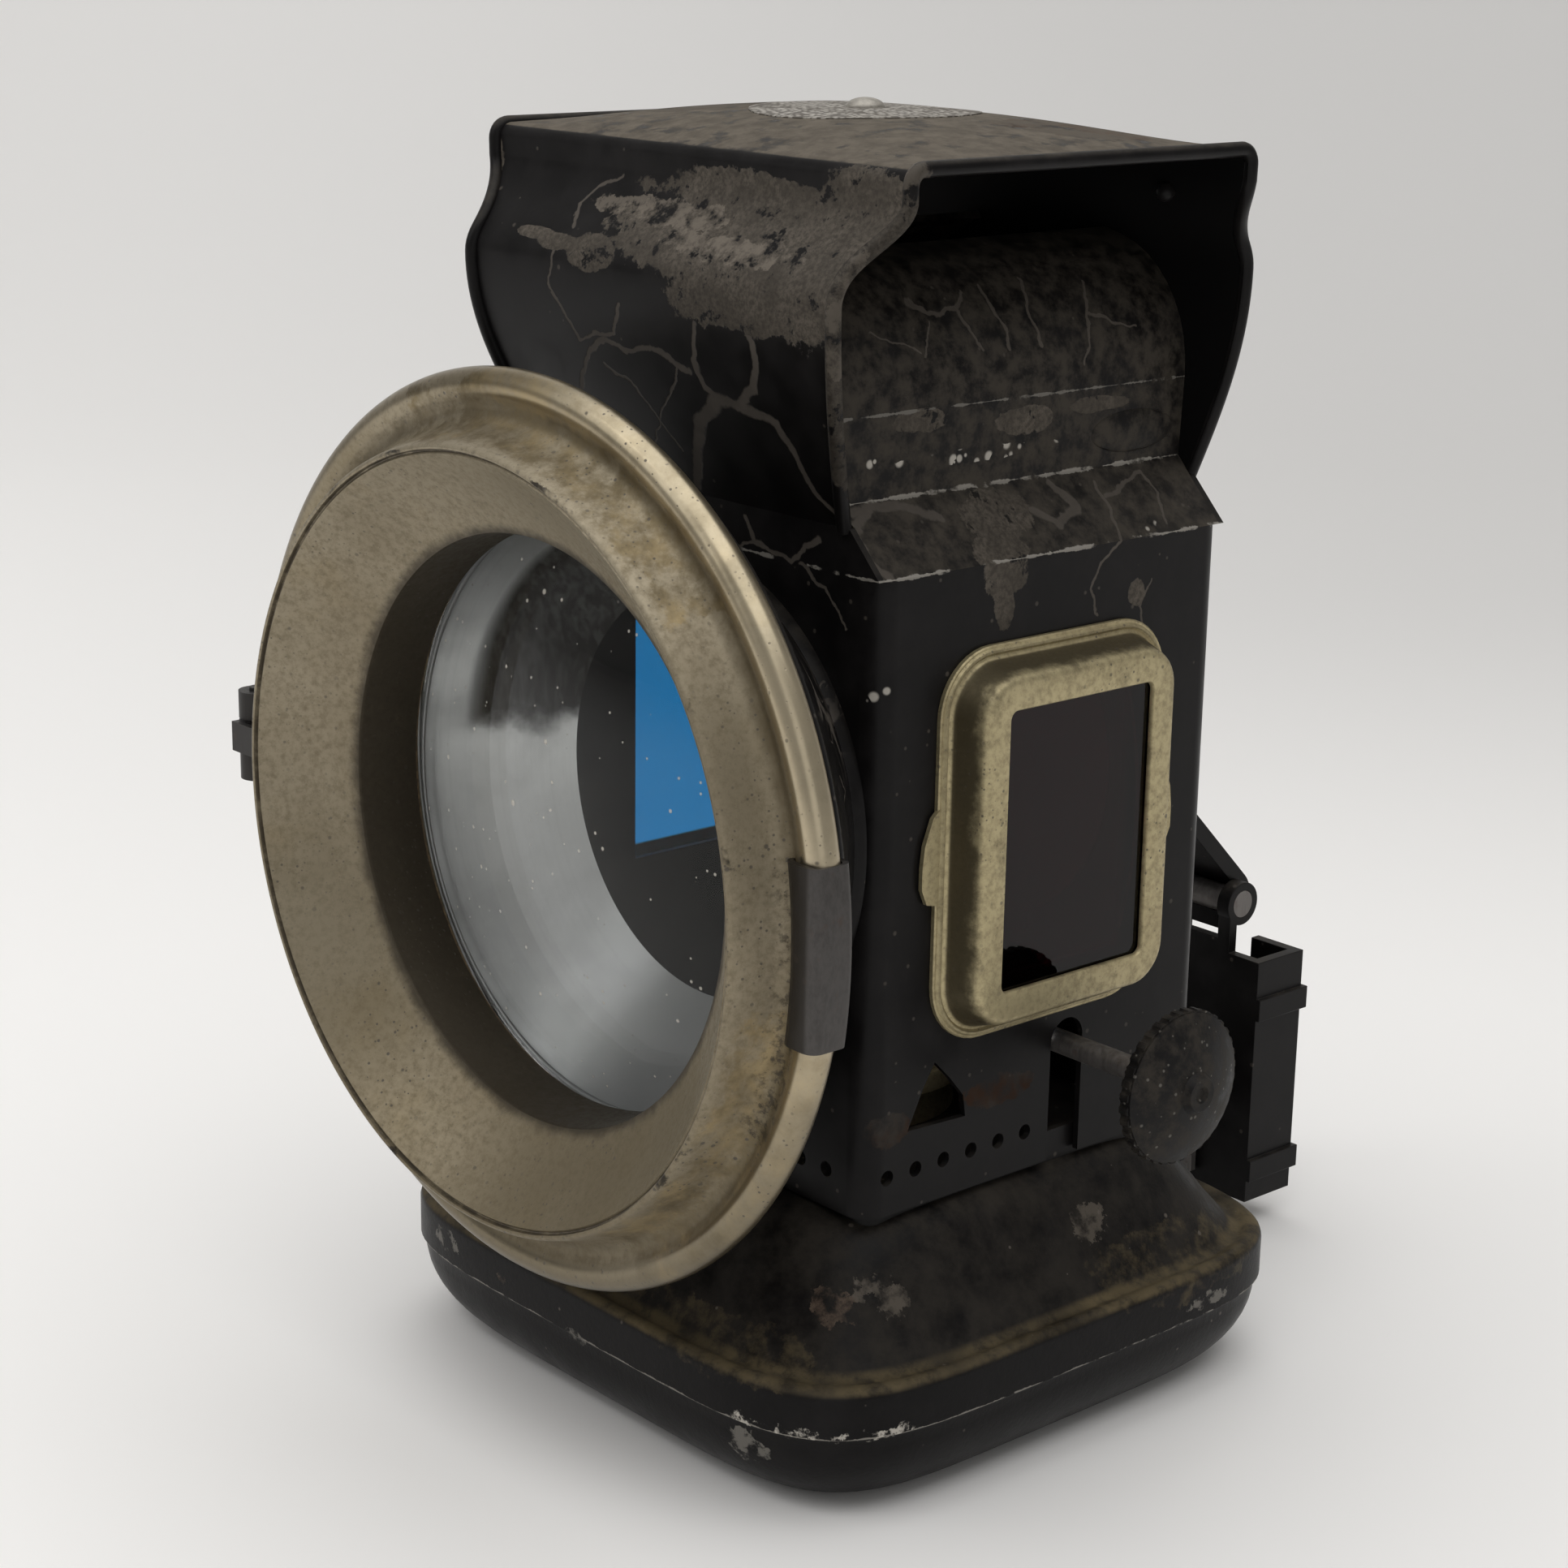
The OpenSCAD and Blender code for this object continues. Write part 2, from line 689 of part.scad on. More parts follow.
// Space between the hood's sheets, down to the shoulders
module hood_inside() {
    translate([-hood_half - 1, 0, 0])
    rotate([90, 0, 90])
    linear_extrude(height = hood_width + 2)
        polygon(concat([[case_front + sheet, shoulder_z - 1]], hood_outline(sheet),
                       [[case_rear - sheet, shoulder_z - 1]]));
    translate([0, 0, -sheet])
        hood_dome(1);
}

// One bent sheet, open at both sides
module hood() {
    side = [for (z = hood_levels) [hood_reach(z), z]];
    color(japan)
    intersection() {
        difference() {
            union() {
                translate([-hood_half, 0, 0])
                rotate([90, 0, 90])
                linear_extrude(height = hood_width)
                    polygon(hood_outline(0));
                hood_dome(sheet / 2);
            }
            hood_inside();
        }
        translate([0, hood_rear_y + 20, 0])
        rotate([90, 0, 0])
        linear_extrude(height = hood_rear_y - hood_front_y + 40)
            polygon(concat(side, [[hood_half, hood_top_z + 9], [-hood_half, hood_top_z + 9]],
                           [for (k = [len(side) - 1:-1:0]) [-side[k][0], side[k][1]]]));
    }
}

disc_thick = 0.4;

disc_seat = 0.01;

// Plain disc on the crown of the hood, pressed to the same dome
module hood_disc() {
    disc_r = 13;
    under = [for (k = [0:6]) let (r = disc_r * k / 6) [r, dome_rise(r) + disc_seat]];
    color(silver)
    translate([0, hood_mid_y, hood_top_z])
    rotate_extrude($fn = round_steps)
        polygon(concat(under, [for (p = reversed(under)) p + [0, disc_thick]]));
}

// Round-headed rivet in the middle of the disc
module hood_rivet() {
    rivet_foot_r = 2;
    rivet_height = 1.5;
    under = [for (k = [0:4]) let (r = rivet_foot_r * k / 4) [r, dome_rise(r) + 2 * disc_seat + disc_thick]];
    top = hood_crown + disc_thick;
    color(steel)
    translate([0, hood_mid_y, hood_top_z])
    rotate_extrude($fn = 32)
        polygon(concat(under, [for (a = [15:15:90]) [rivet_foot_r * cos(a), top + rivet_height * sin(a)]]));
}

// Ring solid around the lamp's front axis, its outline given as [radius, y] points
module front_ring(outline) {
    translate([0, 0, front_z])
    rotate([90, 0, 0])
    rotate_extrude($fn = round_steps)
        polygon([for (p = outline) [p[0], -p[1]]]);
}

// Black cone from the case's front wall out to the rolled rim the door closes on
module front_flare() {
    back_y = case_front;
    color(japan)
    union() {
        front_ring([[flare_small_r - sheet, back_y], [flare_small_r + 1, back_y],
                    [flare_small_r + 1, back_y - 0.6], [flare_small_r + 0.6, back_y - 1.4],
                    [flare_large_r, flare_rim_y], [flare_large_r - sheet * 1.4, flare_rim_y],
                    [flare_small_r - sheet, back_y - 1]]);
        translate([0, flare_rim_y, front_z])
        rotate([90, 0, 0])
        rotate_extrude($fn = round_steps)
            translate([flare_large_r, 0])
                circle(r = flare_rim_r, $fn = 24);
    }
}

// Silvered cone lining the inside of the flare
module flare_liner() {
    back_y = case_front - 1;
    outer_small = flare_small_r - sheet;
    outer_large = flare_large_r - sheet * 1.4 - flare_rim_r;
    slope = (flare_large_r - sheet * 1.4 - outer_small) / (back_y - flare_rim_y);
    front_y = back_y - (outer_large - outer_small) / slope;
    color(silver)
    front_ring([[outer_small, back_y], [outer_large, front_y],
                [outer_large - liner_sheet * 1.4, front_y], [outer_small - liner_sheet * 1.4, back_y]]);
}

reflector_r = 21;
reflector_y = case_rear - sheet - 3;

// Dished reflector behind the flame
module rear_reflector() {
    bowl = [for (k = [0:8])
        let (r = 0.4 + (reflector_r - 0.4) * k / 8)
        [r, reflector_y - 6 * pow(r / reflector_r, 2)]];
    color(silver)
    front_ring(concat(bowl, [[reflector_r + 1.2, reflector_y - 6], [reflector_r + 1.2, reflector_y - 5.4]],
                      [for (k = [8:-1:0]) [bowl[k][0], bowl[k][1] + 0.6]]));
}

// Stud and washer holding the reflector to the rear wall
module reflector_stay() {
    color(steel)
    translate([0, case_rear - sheet, front_z])
    rotate([90, 0, 0]) {
        cylinder(r = 4, h = case_rear - sheet - reflector_y - 0.6, $fn = 32);
        cylinder(r = 0.4, h = 4.4, $fn = 16);
    }
}

frame_corner_r = 1;
frame_bend_r = 3;
frame_crest = 2.4;

// Section of the window's pressed frame: across from the opening's edge, and up from the wall
module frame_section() {
    flank = frame_crest + frame_bend_r;
    low = frame_proud - frame_bend_r;
    inner_r = frame_bend_r - sheet;
    polygon(concat(
        [[0, frame_proud - sheet], [0, frame_proud]],
        [for (a = [0:15:90]) [frame_crest + frame_bend_r * sin(a), low + frame_bend_r * cos(a)]],
        [[flank, sheet], [flank + 1, sheet], [flank + 1, 0], [flank - sheet, 0]],
        [for (a = [90:-15:0]) [frame_crest + inner_r * sin(a), low + inner_r * cos(a)]]));
}

// Pressed frame lying flat, its opening centred on the origin
module window_frame() {
    across = window_width / 2 - frame_corner_r;
    along = window_height / 2 - frame_corner_r;
    ear_start = window_width / 2 + frame_crest + frame_bend_r + 1;
    for (side = [0, 180])
        rotate([0, 0, side]) {
            translate([window_width / 2, along, 0])
            rotate([90, 0, 0])
            linear_extrude(height = 2 * along)
                frame_section();
            translate([-across, window_height / 2, 0])
            rotate([90, 0, 90])
            linear_extrude(height = 2 * across)
                frame_section();
            translate([across, along, 0])
            rotate_extrude(angle = 90, $fn = round_steps)
            translate([frame_corner_r, 0])
                frame_section();
            translate([-across, along, 0])
            rotate([0, 0, 90])
            rotate_extrude(angle = 90, $fn = round_steps)
            translate([frame_corner_r, 0])
                frame_section();
            translate([ear_start, -6, 0])
                cube([2.4, 11, sheet]);
        }
}

// Places something built flat onto the right wall, its origin at the window's centre
module on_right_wall() {
    translate([case_half, window_y, window_z])
    rotate([90, 0, 90])
        children();
}

module window_frame_right() {
    color(brassy)
    on_right_wall()
        window_frame();
}

module window_frame_left() {
    color(brassy)
    mirror([1, 0, 0])
    on_right_wall()
        window_frame();
}

// Flat glass held against the back of the frame
module pane() {
    overlap = 1.6;
    translate([-window_width / 2 - overlap, -window_height / 2 - overlap, frame_proud - sheet - pane_thick])
        cube([window_width + 2 * overlap, window_height + 2 * overlap, pane_thick]);
}

module pane_right() {
    color([0.25, 0.03, 0.04])
    on_right_wall()
        pane();
}

module pane_left() {
    color([0.10, 0.42, 0.66])
    mirror([1, 0, 0])
    on_right_wall()
        pane();
}

// Two bowed strips between the wall and the pane
module pane_springs() {
    rise = frame_proud - sheet - pane_thick;
    strip = 0.5;
    half = window_height / 2 - 2;
    bow = [for (k = [-6:6]) [half * k / 6, (rise - strip) * (1 - k * k / 36)]];
    for (side = [-1, 1])
        translate([side * (window_width / 2 + 1) - 0.6, 0, 0])
        rotate([90, 0, 90])
        linear_extrude(height = 1.2)
            polygon(concat(bow, [for (k = [12:-1:0]) bow[k] + [0, strip]]));
}

module pane_springs_right() {
    color(steel)
    on_right_wall()
        pane_springs();
}

module pane_springs_left() {
    color(steel)
    mirror([1, 0, 0])
    on_right_wall()
        pane_springs();
}

// Rolled rim of the flare, taken out of the hinge leaf so the two meet
module flare_rim() {
    translate([0, flare_rim_y, front_z])
    rotate([90, 0, 0])
    rotate_extrude($fn = round_steps)
        translate([flare_large_r, 0])
            circle(r = flare_rim_r, $fn = 24);
}

knuckle_length = hinge_length / 3 - air;

// Two outer knuckles of the hinge with a strap back to the flare's rim
module hinge_leaf() {
    low = front_z - hinge_length / 2;
    strap = 0.8;
    color(steel)
    difference() {
        union() {
            for (z = [low, front_z + hinge_length / 2 - knuckle_length])
                translate([0, 0, z]) {
                    translate([hinge_x, hinge_y, 0])
                        cylinder(r = hinge_r, h = knuckle_length, $fn = 32);
                    translate([hinge_x - strap / 2, hinge_y + 1.4, 0])
                        cube([strap, flare_rim_y + strap / 2 - hinge_y - 1.4, knuckle_length]);
                }
            translate([hinge_x - strap / 2, flare_rim_y - strap / 2, low])
                cube([-flare_large_r - hinge_x + strap / 2, strap, hinge_length]);
        }
        translate([hinge_x, hinge_y, low - 1])
            cylinder(r = hinge_pin_r, h = hinge_length + 2, $fn = 32);
        flare_rim();
    }
}

module hinge_pin() {
    color(steel)
    translate([hinge_x, hinge_y, front_z - hinge_length / 2 - 0.4])
        cylinder(r = hinge_pin_r, h = hinge_length + 0.8, $fn = 32);
}

// Middle knuckle with a tab soldered to the front of the bezel's bead
module door_knuckle() {
    half = (hinge_length - 2 * knuckle_length) / 2 - air;
    tab = 0.8;
    front = bead_y - bead_tube_r;
    color(steel)
    difference() {
        union() {
            translate([hinge_x, hinge_y, front_z - half])
                cylinder(r = hinge_r, h = 2 * half, $fn = 32);
            translate([hinge_x, front - tab, front_z - half])
                cube([-bead_ring_r + 1 - hinge_x, tab, 2 * half]);
            translate([hinge_x - 1, front - tab, front_z - half])
                cube([1.6, 1.2, 2 * half]);
        }
        translate([hinge_x, hinge_y, front_z - half - 1])
            cylinder(r = hinge_pin_r + run, h = 2 * half + 2, $fn = 32);
    }
}

// Front ring: dark tube and cup for the glass, dished face, ridge, drum, cove and rolled bead
module bezel() {
    t = bezel_sheet;
    color(nickel)
    union() {
        front_ring([
            [aperture_r, glass_y], [aperture_r, aperture_y + 0.5], [aperture_r + 0.5, aperture_y],
            [ridge_r - 0.7, ridge_y + 0.2], [ridge_r - 0.1, ridge_y], [ridge_r + 0.4, ridge_y + 0.5],
            [ridge_r + 1, bead_y - 3.4], [ridge_r + 1.4, bead_y - 1.8], [ridge_r + 2.4, bead_y - 0.7],
            [bead_ring_r - 1.2, bead_y - t / 2], [bead_ring_r - 1.2, bead_y + t / 2],
            [ridge_r + 2, bead_y + 0.4], [ridge_r + 0.4, bead_y - 1], [ridge_r - 0.2, bead_y - 3.2],
            [ridge_r - 0.6, ridge_y + 1.8], [aperture_r + 1.8, aperture_y + 0.9],
            [aperture_r + t, aperture_y + 1.5], [aperture_r + t, glass_y]]);
        front_ring([
            [aperture_r, glass_y - t], [cup_r + t, glass_y - t], [cup_r + t, cup_end_y],
            [cup_r, cup_end_y], [cup_r, glass_y], [aperture_r, glass_y]]);
        translate([0, bead_y, front_z])
        rotate([90, 0, 0])
        rotate_extrude($fn = round_steps)
            translate([bead_ring_r, 0])
                circle(r = bead_tube_r, $fn = 24);
    }
}

packing_thick = 0.4;
glass_front_y = glass_y + packing_thick;

// Domed clear glass with a flat rim
module front_glass() {
    dome_r = aperture_r - 0.2;
    dome = [for (k = [0:10]) [dome_r * k / 10, glass_front_y - glass_rise * (1 - k * k / 100)]];
    color([0.85, 0.90, 0.92, 0.4])
    front_ring(concat(dome, [[glass_r, glass_front_y], [glass_r, glass_front_y + glass_thick]],
                      [for (k = [10:-1:0]) dome[k] + [0, glass_thick]]));
}

module glass_packing() {
    color([0.35, 0.30, 0.24])
    front_ring([[aperture_r + 0.3, glass_y], [glass_r, glass_y],
                [glass_r, glass_front_y], [aperture_r + 0.3, glass_front_y]]);
}

// Sprung wire ring in the cup behind the glass
module glass_ring() {
    wire_r = 0.45;
    color(steel)
    translate([0, glass_front_y + glass_thick + wire_r, front_z])
    rotate([90, 0, 0])
    rotate_extrude($fn = round_steps)
        translate([cup_r - wire_r, 0])
            circle(r = wire_r, $fn = 16);
}

// Folded steel clip gripping the bead opposite the hinge, the finger hold of the door
module catch_clip() {
    length_deg = 23;
    middle_deg = -1.6;
    wall = 0.6;
    r = bead_tube_r;
    color(steel)
    translate([0, bead_y, front_z])
    rotate([90, 0, 0])
    rotate([0, 0, middle_deg - length_deg / 2])
    rotate_extrude(angle = length_deg, $fn = 4 * round_steps)
        polygon(concat(
            [for (a = [-70:20:130]) [bead_ring_r + (r + wall) * cos(a), (r + wall) * sin(a)]],
            [for (a = [130:-20:-70]) [bead_ring_r + r * cos(a), r * sin(a)]]));
}

// Points beside a line of points, shifted sideways with mitred bends
function beside(line, shift) =
    [for (i = [0:len(line) - 1])
        let (last = len(line) - 1)
        let (before = i == 0 ? line[1] - line[0] : line[i] - line[i - 1])
        let (after = i == last ? before : line[i + 1] - line[i])
        let (n1 = [-before[1], before[0]] / norm(before))
        let (n2 = [-after[1], after[0]] / norm(after))
        let (middle = (n1 + n2) / norm(n1 + n2))
        line[i] + middle * shift / (middle * n1)];

// Outline of a strap of even thickness along a line of points
function strap_outline(line, thick) =
    let (left = beside(line, thick / 2))
    let (right = beside(line, -thick / 2))
    concat(left, [for (i = [len(right) - 1:-1:0]) right[i]]);

// Strap riveted to the rear wall, running out and down to a hook around the socket's pin
module bracket_arm() {
    pin = [socket_pin_y, socket_pin_z];
    from = [case_rear + arm_thick / 2, arm_foot_z];
    to_pin = from - pin;
    bearing = atan2(to_pin[1], to_pin[0]);
    tangent = bearing - acos(hook_mid_r / norm(to_pin));
    hook_turn = 150;
    hook = [for (k = [0:15])
        let (a = tangent - hook_turn * k / 15)
        pin + hook_mid_r * [cos(a), sin(a)]];
    color(japan)
    difference() {
        translate([-arm_width / 2, 0, 0])
        rotate([90, 0, 90])
        linear_extrude(height = arm_width)
            polygon(strap_outline(concat([from + [0, arm_foot_length], from], hook), arm_thick));
        rivet_holes(arm_rivet_z);
        translate([-arm_width, socket_pin_y, socket_pin_z])
        rotate([0, 90, 0])
            cylinder(r = hook_inner_r, h = 2 * arm_width, $fn = 32);
    }
}

module arm_rivets() {
    color(japan)
        wall_rivets(arm_rivet_z, arm_thick);
}

buffer_thick = 1;
buffer_width = 10;

// Spring strap below the arm that the socket's front plate rests against
module buffer_spring() {
    from = [case_rear + buffer_thick / 2, buffer_foot_z];
    pad_z = socket_bottom_z + 12;
    pad_length = 10;
    to = [socket_y - air - buffer_thick / 2, pad_z];
    line = [from + [0, buffer_foot_length], from, to, to - [0, pad_length]];
    color(steel)
    difference() {
        translate([-buffer_width / 2, 0, 0])
        rotate([90, 0, 90])
        linear_extrude(height = buffer_width)
            polygon(strap_outline(line, buffer_thick));
        rivet_holes(buffer_rivet_z);
    }
}

module buffer_rivets() {
    color(steel)
        wall_rivets(buffer_rivet_z, buffer_thick);
}

module socket_pin() {
    color(steel)
    translate([-tongue_half, socket_pin_y, socket_pin_z])
    rotate([0, 90, 0])
        cylinder(r = socket_pin_r, h = 2 * tongue_half, $fn = 32);
}

// Plan of the socket: a channel with turned-in lips, open behind for the bracket's blade
module socket_plan(grow) {
    difference() {
        translate([-socket_half - grow, socket_y])
            square([2 * (socket_half + grow), socket_rear + grow - socket_y]);
        translate([-socket_bore_width / 2, socket_y + socket_plate])
            square([socket_bore_width, socket_bore_depth]);
        translate([-socket_half + socket_lip, socket_y + socket_plate])
            square([2 * (socket_half - socket_lip), 30]);
    }
}

// Sleeve with two pressed bands, and a tongue with eyes that hang on the pin
module bracket_socket() {
    tongue_z = socket_pin_z - hook_inner_r - arm_thick - 0.6;
    band = 3;
    color(japan)
    difference() {
        union() {
            translate([0, 0, socket_bottom_z])
            linear_extrude(height = socket_top_z - socket_bottom_z)
                socket_plan(0);
            for (z = [socket_bottom_z + 3, socket_top_z - 8])
                translate([0, 0, z])
                linear_extrude(height = band)
                    socket_plan(0.6);
            translate([-tongue_half, socket_y, socket_top_z - 1])
                cube([2 * tongue_half, socket_plate, tongue_z - socket_top_z + 1]);
            for (x = [-tongue_half, tongue_half - eye_width]) {
                translate([x, socket_y, socket_top_z - 1])
                    cube([eye_width, socket_plate, socket_pin_z - socket_top_z + 1]);
                translate([x, socket_pin_y, socket_pin_z])
                rotate([0, 90, 0])
                    cylinder(r = eye_r, h = eye_width, $fn = 32);
            }
        }
        translate([-tongue_half - 1, socket_pin_y, socket_pin_z])
        rotate([0, 90, 0])
            cylinder(r = socket_pin_r, h = 2 * tongue_half + 2, $fn = 32);
    }
}

tank_pan();
tank_cover();
locating_rim();
burner_collar();
burner_cap();
wick_tube();
wheel_housing();
wick_spindle();
spur_wheels();
wick_knob();
knob_rivet();
wick();
case_shell();
shoulder_right();
shoulder_left();
chimney_right();
chimney_left();
hood();
hood_disc();
hood_rivet();
front_flare();
flare_liner();
rear_reflector();
reflector_stay();
window_frame_right();
window_frame_left();
pane_right();
pane_left();
pane_springs_right();
pane_springs_left();
hinge_leaf();
hinge_pin();
bracket_arm();
arm_rivets();
buffer_spring();
buffer_rivets();
socket_pin();
bezel();
front_glass();
glass_packing();
glass_ring();
door_knuckle();
catch_clip();
bracket_socket();
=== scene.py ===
"""Bicycle oil lamp: the visible pieces and finishes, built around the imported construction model."""

import json
import math
from functools import cached_property

import bmesh
import bpy
from bpy.props import FloatProperty, FloatVectorProperty, PointerProperty
from mathutils import Matrix, Vector


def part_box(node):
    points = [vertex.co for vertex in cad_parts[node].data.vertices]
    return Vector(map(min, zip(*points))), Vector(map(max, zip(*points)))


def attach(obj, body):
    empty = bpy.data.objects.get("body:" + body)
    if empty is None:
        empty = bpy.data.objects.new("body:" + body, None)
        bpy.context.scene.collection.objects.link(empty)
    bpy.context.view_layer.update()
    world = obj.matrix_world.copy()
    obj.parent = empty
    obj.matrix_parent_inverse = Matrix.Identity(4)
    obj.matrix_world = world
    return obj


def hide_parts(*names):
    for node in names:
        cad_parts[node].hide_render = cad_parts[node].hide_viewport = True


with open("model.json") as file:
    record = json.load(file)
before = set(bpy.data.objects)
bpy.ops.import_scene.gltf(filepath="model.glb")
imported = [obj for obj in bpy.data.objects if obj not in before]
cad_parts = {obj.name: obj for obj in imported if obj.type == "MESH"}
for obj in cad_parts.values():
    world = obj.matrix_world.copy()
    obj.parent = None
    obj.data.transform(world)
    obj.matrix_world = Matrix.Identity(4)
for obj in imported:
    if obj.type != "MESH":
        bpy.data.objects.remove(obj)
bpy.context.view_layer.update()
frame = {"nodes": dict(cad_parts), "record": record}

bl_info = {
    "name": "Bicycle Oil Lamp",
    "version": (1, 0, 0),
    "blender": (4, 5, 0),
    "location": "View3D > Sidebar > Lamp",
    "description": "Builds the visible pieces of a bicycle oil lamp on its construction model",
    "category": "Object",
}

MM = 0.001
BODY_OF = {node: body for body, nodes in frame["record"]["behaviour"]["bodies"].items() for node in nodes}


def corners_mm(node):
    """Lowest and highest corner of a construction node, in millimetres."""
    low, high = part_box(node)
    return low / MM, high / MM


# Places in millimetres, taken from the construction nodes

BEZEL_LOW, BEZEL_HIGH = corners_mm("bezel")
HOOD_LOW, HOOD_HIGH = corners_mm("hood")
COVER_HIGH = corners_mm("tank_cover")[1]
WICK_LOW, WICK_HIGH = corners_mm("wick")
CASE_LOW, CASE_HIGH = corners_mm("case_shell")
GLASS_LOW, GLASS_HIGH = corners_mm("front_glass")
PANE_LOW, PANE_HIGH = corners_mm("pane_right")
LINER_LOW, LINER_HIGH = corners_mm("flare_liner")
COLLAR_LOW, COLLAR_HIGH = corners_mm("burner_collar")
SHOULDER_Z, NECK_TOP_Z = (corner.z for corner in corners_mm("shoulder_right"))
FRAME_PROUD = corners_mm("window_frame_right")[1].x - CASE_HIGH.x
PANE_LAP = 1.6

TANK_SEAM_Z = corners_mm("tank_pan")[1].z
TANK_LIP_Z = TANK_SEAM_Z + 5.5
FRONT_Z = (BEZEL_LOW.z + BEZEL_HIGH.z) / 2
RIDGE_R = BEZEL_HIGH.x - 7.8
HOLE_R = RIDGE_R - 10.1
CASE_HALF = CASE_HIGH.x
NECK_Z = SHOULDER_Z + 7.0
NECK_HALF = CASE_HALF - 6.8
HOOD_FRONT_Y = -24.9
HOOD_REAR_Y = 26.0
HOOD_MID_Y = (HOOD_FRONT_Y + HOOD_REAR_Y) / 2
HOOD_EDGE_Z = HOOD_HIGH.z - 2.4
HOOD_COVE_Z = HOOD_EDGE_Z - 3.4
HOOD_SWELL_Z = HOOD_LOW.z + 0.64 * (HOOD_EDGE_Z - HOOD_LOW.z)
STAGE_TURN = math.radians(48.4)


def length(name, description, millimetres):
    """Property for a length that a user may change."""
    return FloatProperty(name=name, description=description, default=millimetres * MM, unit="LENGTH")


def power(name, description, watts):
    """Property for the strength of a light."""
    return FloatProperty(name=name, description=description, default=watts, unit="POWER")


def plain(name, description, value):
    """Property for a number without a unit."""
    return FloatProperty(name=name, description=description, default=value)


def paint(name, description, colour):
    """Property for a colour that a user may change."""
    return FloatVectorProperty(name=name, description=description, subtype="COLOR", size=3,
                               min=0.0, max=1.0, default=colour)


class LampSizes(bpy.types.PropertyGroup):
    """Sizes of the pressed and rolled details."""

    sheet: length("Sheet", "Thickness of the hood and tank sheet", 0.8)
    bead: length("Bead", "Radius of the rolled bead on the front ring", 1.9)
    hem: length("Hem", "Radius of the wired hem on the hood's open sides", 0.85)
    crown: length("Crown", "Rise of the hood's top in its middle", 2.9)
    disc: length("Disc", "Radius of the plain disc on the hood's crown", 13)
    thread: length("Wick thread", "Width of one plaited thread of the wick", 1.2)
    tank_power: plain("Tank squareness", "Squareness of the tank's plan, 2 is an ellipse", 5.3)


class LampColours(bpy.types.PropertyGroup):
    """Colours of the finishes."""

    japan: paint("Japan", "Black baked varnish", (0.0055, 0.0050, 0.0050))
    iron: paint("Bare iron", "Iron where the varnish has worn off", (0.105, 0.090, 0.073))
    crack: paint("Crackle", "Veins where the varnish has split", (0.082, 0.071, 0.060))
    chip: paint("Chips", "Bright chips along folds and seams", (0.46, 0.43, 0.38))
    dust: paint("Dust", "Dust on surfaces that face up", (0.085, 0.073, 0.058))
    rust: paint("Rust", "Rust spots and stains", (0.085, 0.040, 0.020))
    nickel: paint("Nickel", "Aged plating of the front ring", (0.30, 0.258, 0.183))
    # Tarnish also colours painted shade on the ring and frames, and the tank lip's painted highlight.
    tarnish: paint("Tarnish", "Brown tarnish in the plating", (0.27, 0.21, 0.115))
    # Dark dirt colour, also painted shade in the ring's tube and clip's fold and the silver's dark
    # reflection.
    grime_and_shade: paint("Grime", "Dark dirt in pits and corners", (0.045, 0.036, 0.025))
    brass: paint("Brass", "Dull brass of the window frames and burner", (0.47, 0.40, 0.235))
    steel: paint("Steel", "Dull steel of clip and springs", (0.17, 0.158, 0.15))
    silver: paint("Silver", "Silvered sheet of cone and reflector", (0.62, 0.615, 0.605))
    cotton: paint("Cotton", "Cotton of the wick", (0.60, 0.54, 0.42))
    cork: paint("Cork", "Packing in front of the glass", (0.16, 0.11, 0.06))
    clear: paint("Clear glass", "Front glass", (0.93, 0.95, 0.95))
    ruby: paint("Ruby", "Ruby pane", (0.09, 0.008, 0.014))
    blue: paint("Blue", "Blue pane", (0.015, 0.19, 0.46))
    ground: paint("Ground", "Pale ground and backdrop", (0.95, 0.937, 0.92))


class LampStage(bpy.types.PropertyGroup):
    """Light of the stage."""

    overhead: power("Overhead light", "Strength of the wide light above", 21.5)
    key: power("Key light", "Strength of the light from the front left", 0.95)
    fill: power("Fill light", "Strength of the light from the right", 0.4)
    sky: plain("Room light", "Level of the light from all round", 0.30)
    backdrop: plain("Backdrop", "Level of the room as the camera sees it", 0.62)


def size_mm(name):
    """One of the lamp's sizes, in millimetres."""
    return getattr(bpy.context.scene.lamp_sizes, name) / MM


def tone(name, level=1.0):
    """One of the lamp's colours, darker or paler by a level."""
    red, green, blue = getattr(bpy.context.scene.lamp_colours, name)
    return (red * level, green * level, blue * level, 1.0)


# Building of meshes, in millimetres until a piece is finished


def ease(t):
    """Eased step from 0 to 1."""
    t = max(0.0, min(1.0, t))
    return 0.5 - 0.5 * math.cos(math.pi * t)


def mark_sharp(bm, degrees):
    """Smooth faces with sharp edges where they meet at more than the given angle."""
    limit = math.radians(degrees)
    for face in bm.faces:
        face.smooth = True
    for edge in bm.edges:
        edge.smooth = len(edge.link_faces) == 2 and edge.calc_face_angle(0.0) < limit


def add_object(name, bm, material):
    """Object of a mesh, with its material."""
    mesh = bpy.data.meshes.new(name)
    bm.to_mesh(mesh)
    bm.free()
    mesh.materials.append(material)
    made = bpy.data.objects.new(name, mesh)
    bpy.context.scene.collection.objects.link(made)
    return made


def add_piece(name, bm, node, finish, degrees=35, replaces=True, sheet=0.0):
    """Turns a mesh in millimetres into a piece that rides with a node's body, as sheet where asked."""
    bmesh.ops.scale(bm, vec=(MM, MM, MM), verts=bm.verts)
    mark_sharp(bm, degrees)
    slot, material = FINISHES[finish]
    piece = add_object(name, bm, material)
    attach(piece, BODY_OF[node])
    if replaces:
        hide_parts(node)
    if sheet:
        shell = piece.modifiers.new("sheet", "SOLIDIFY")
        shell.thickness = sheet * MM
        shell.offset = -1
    return piece


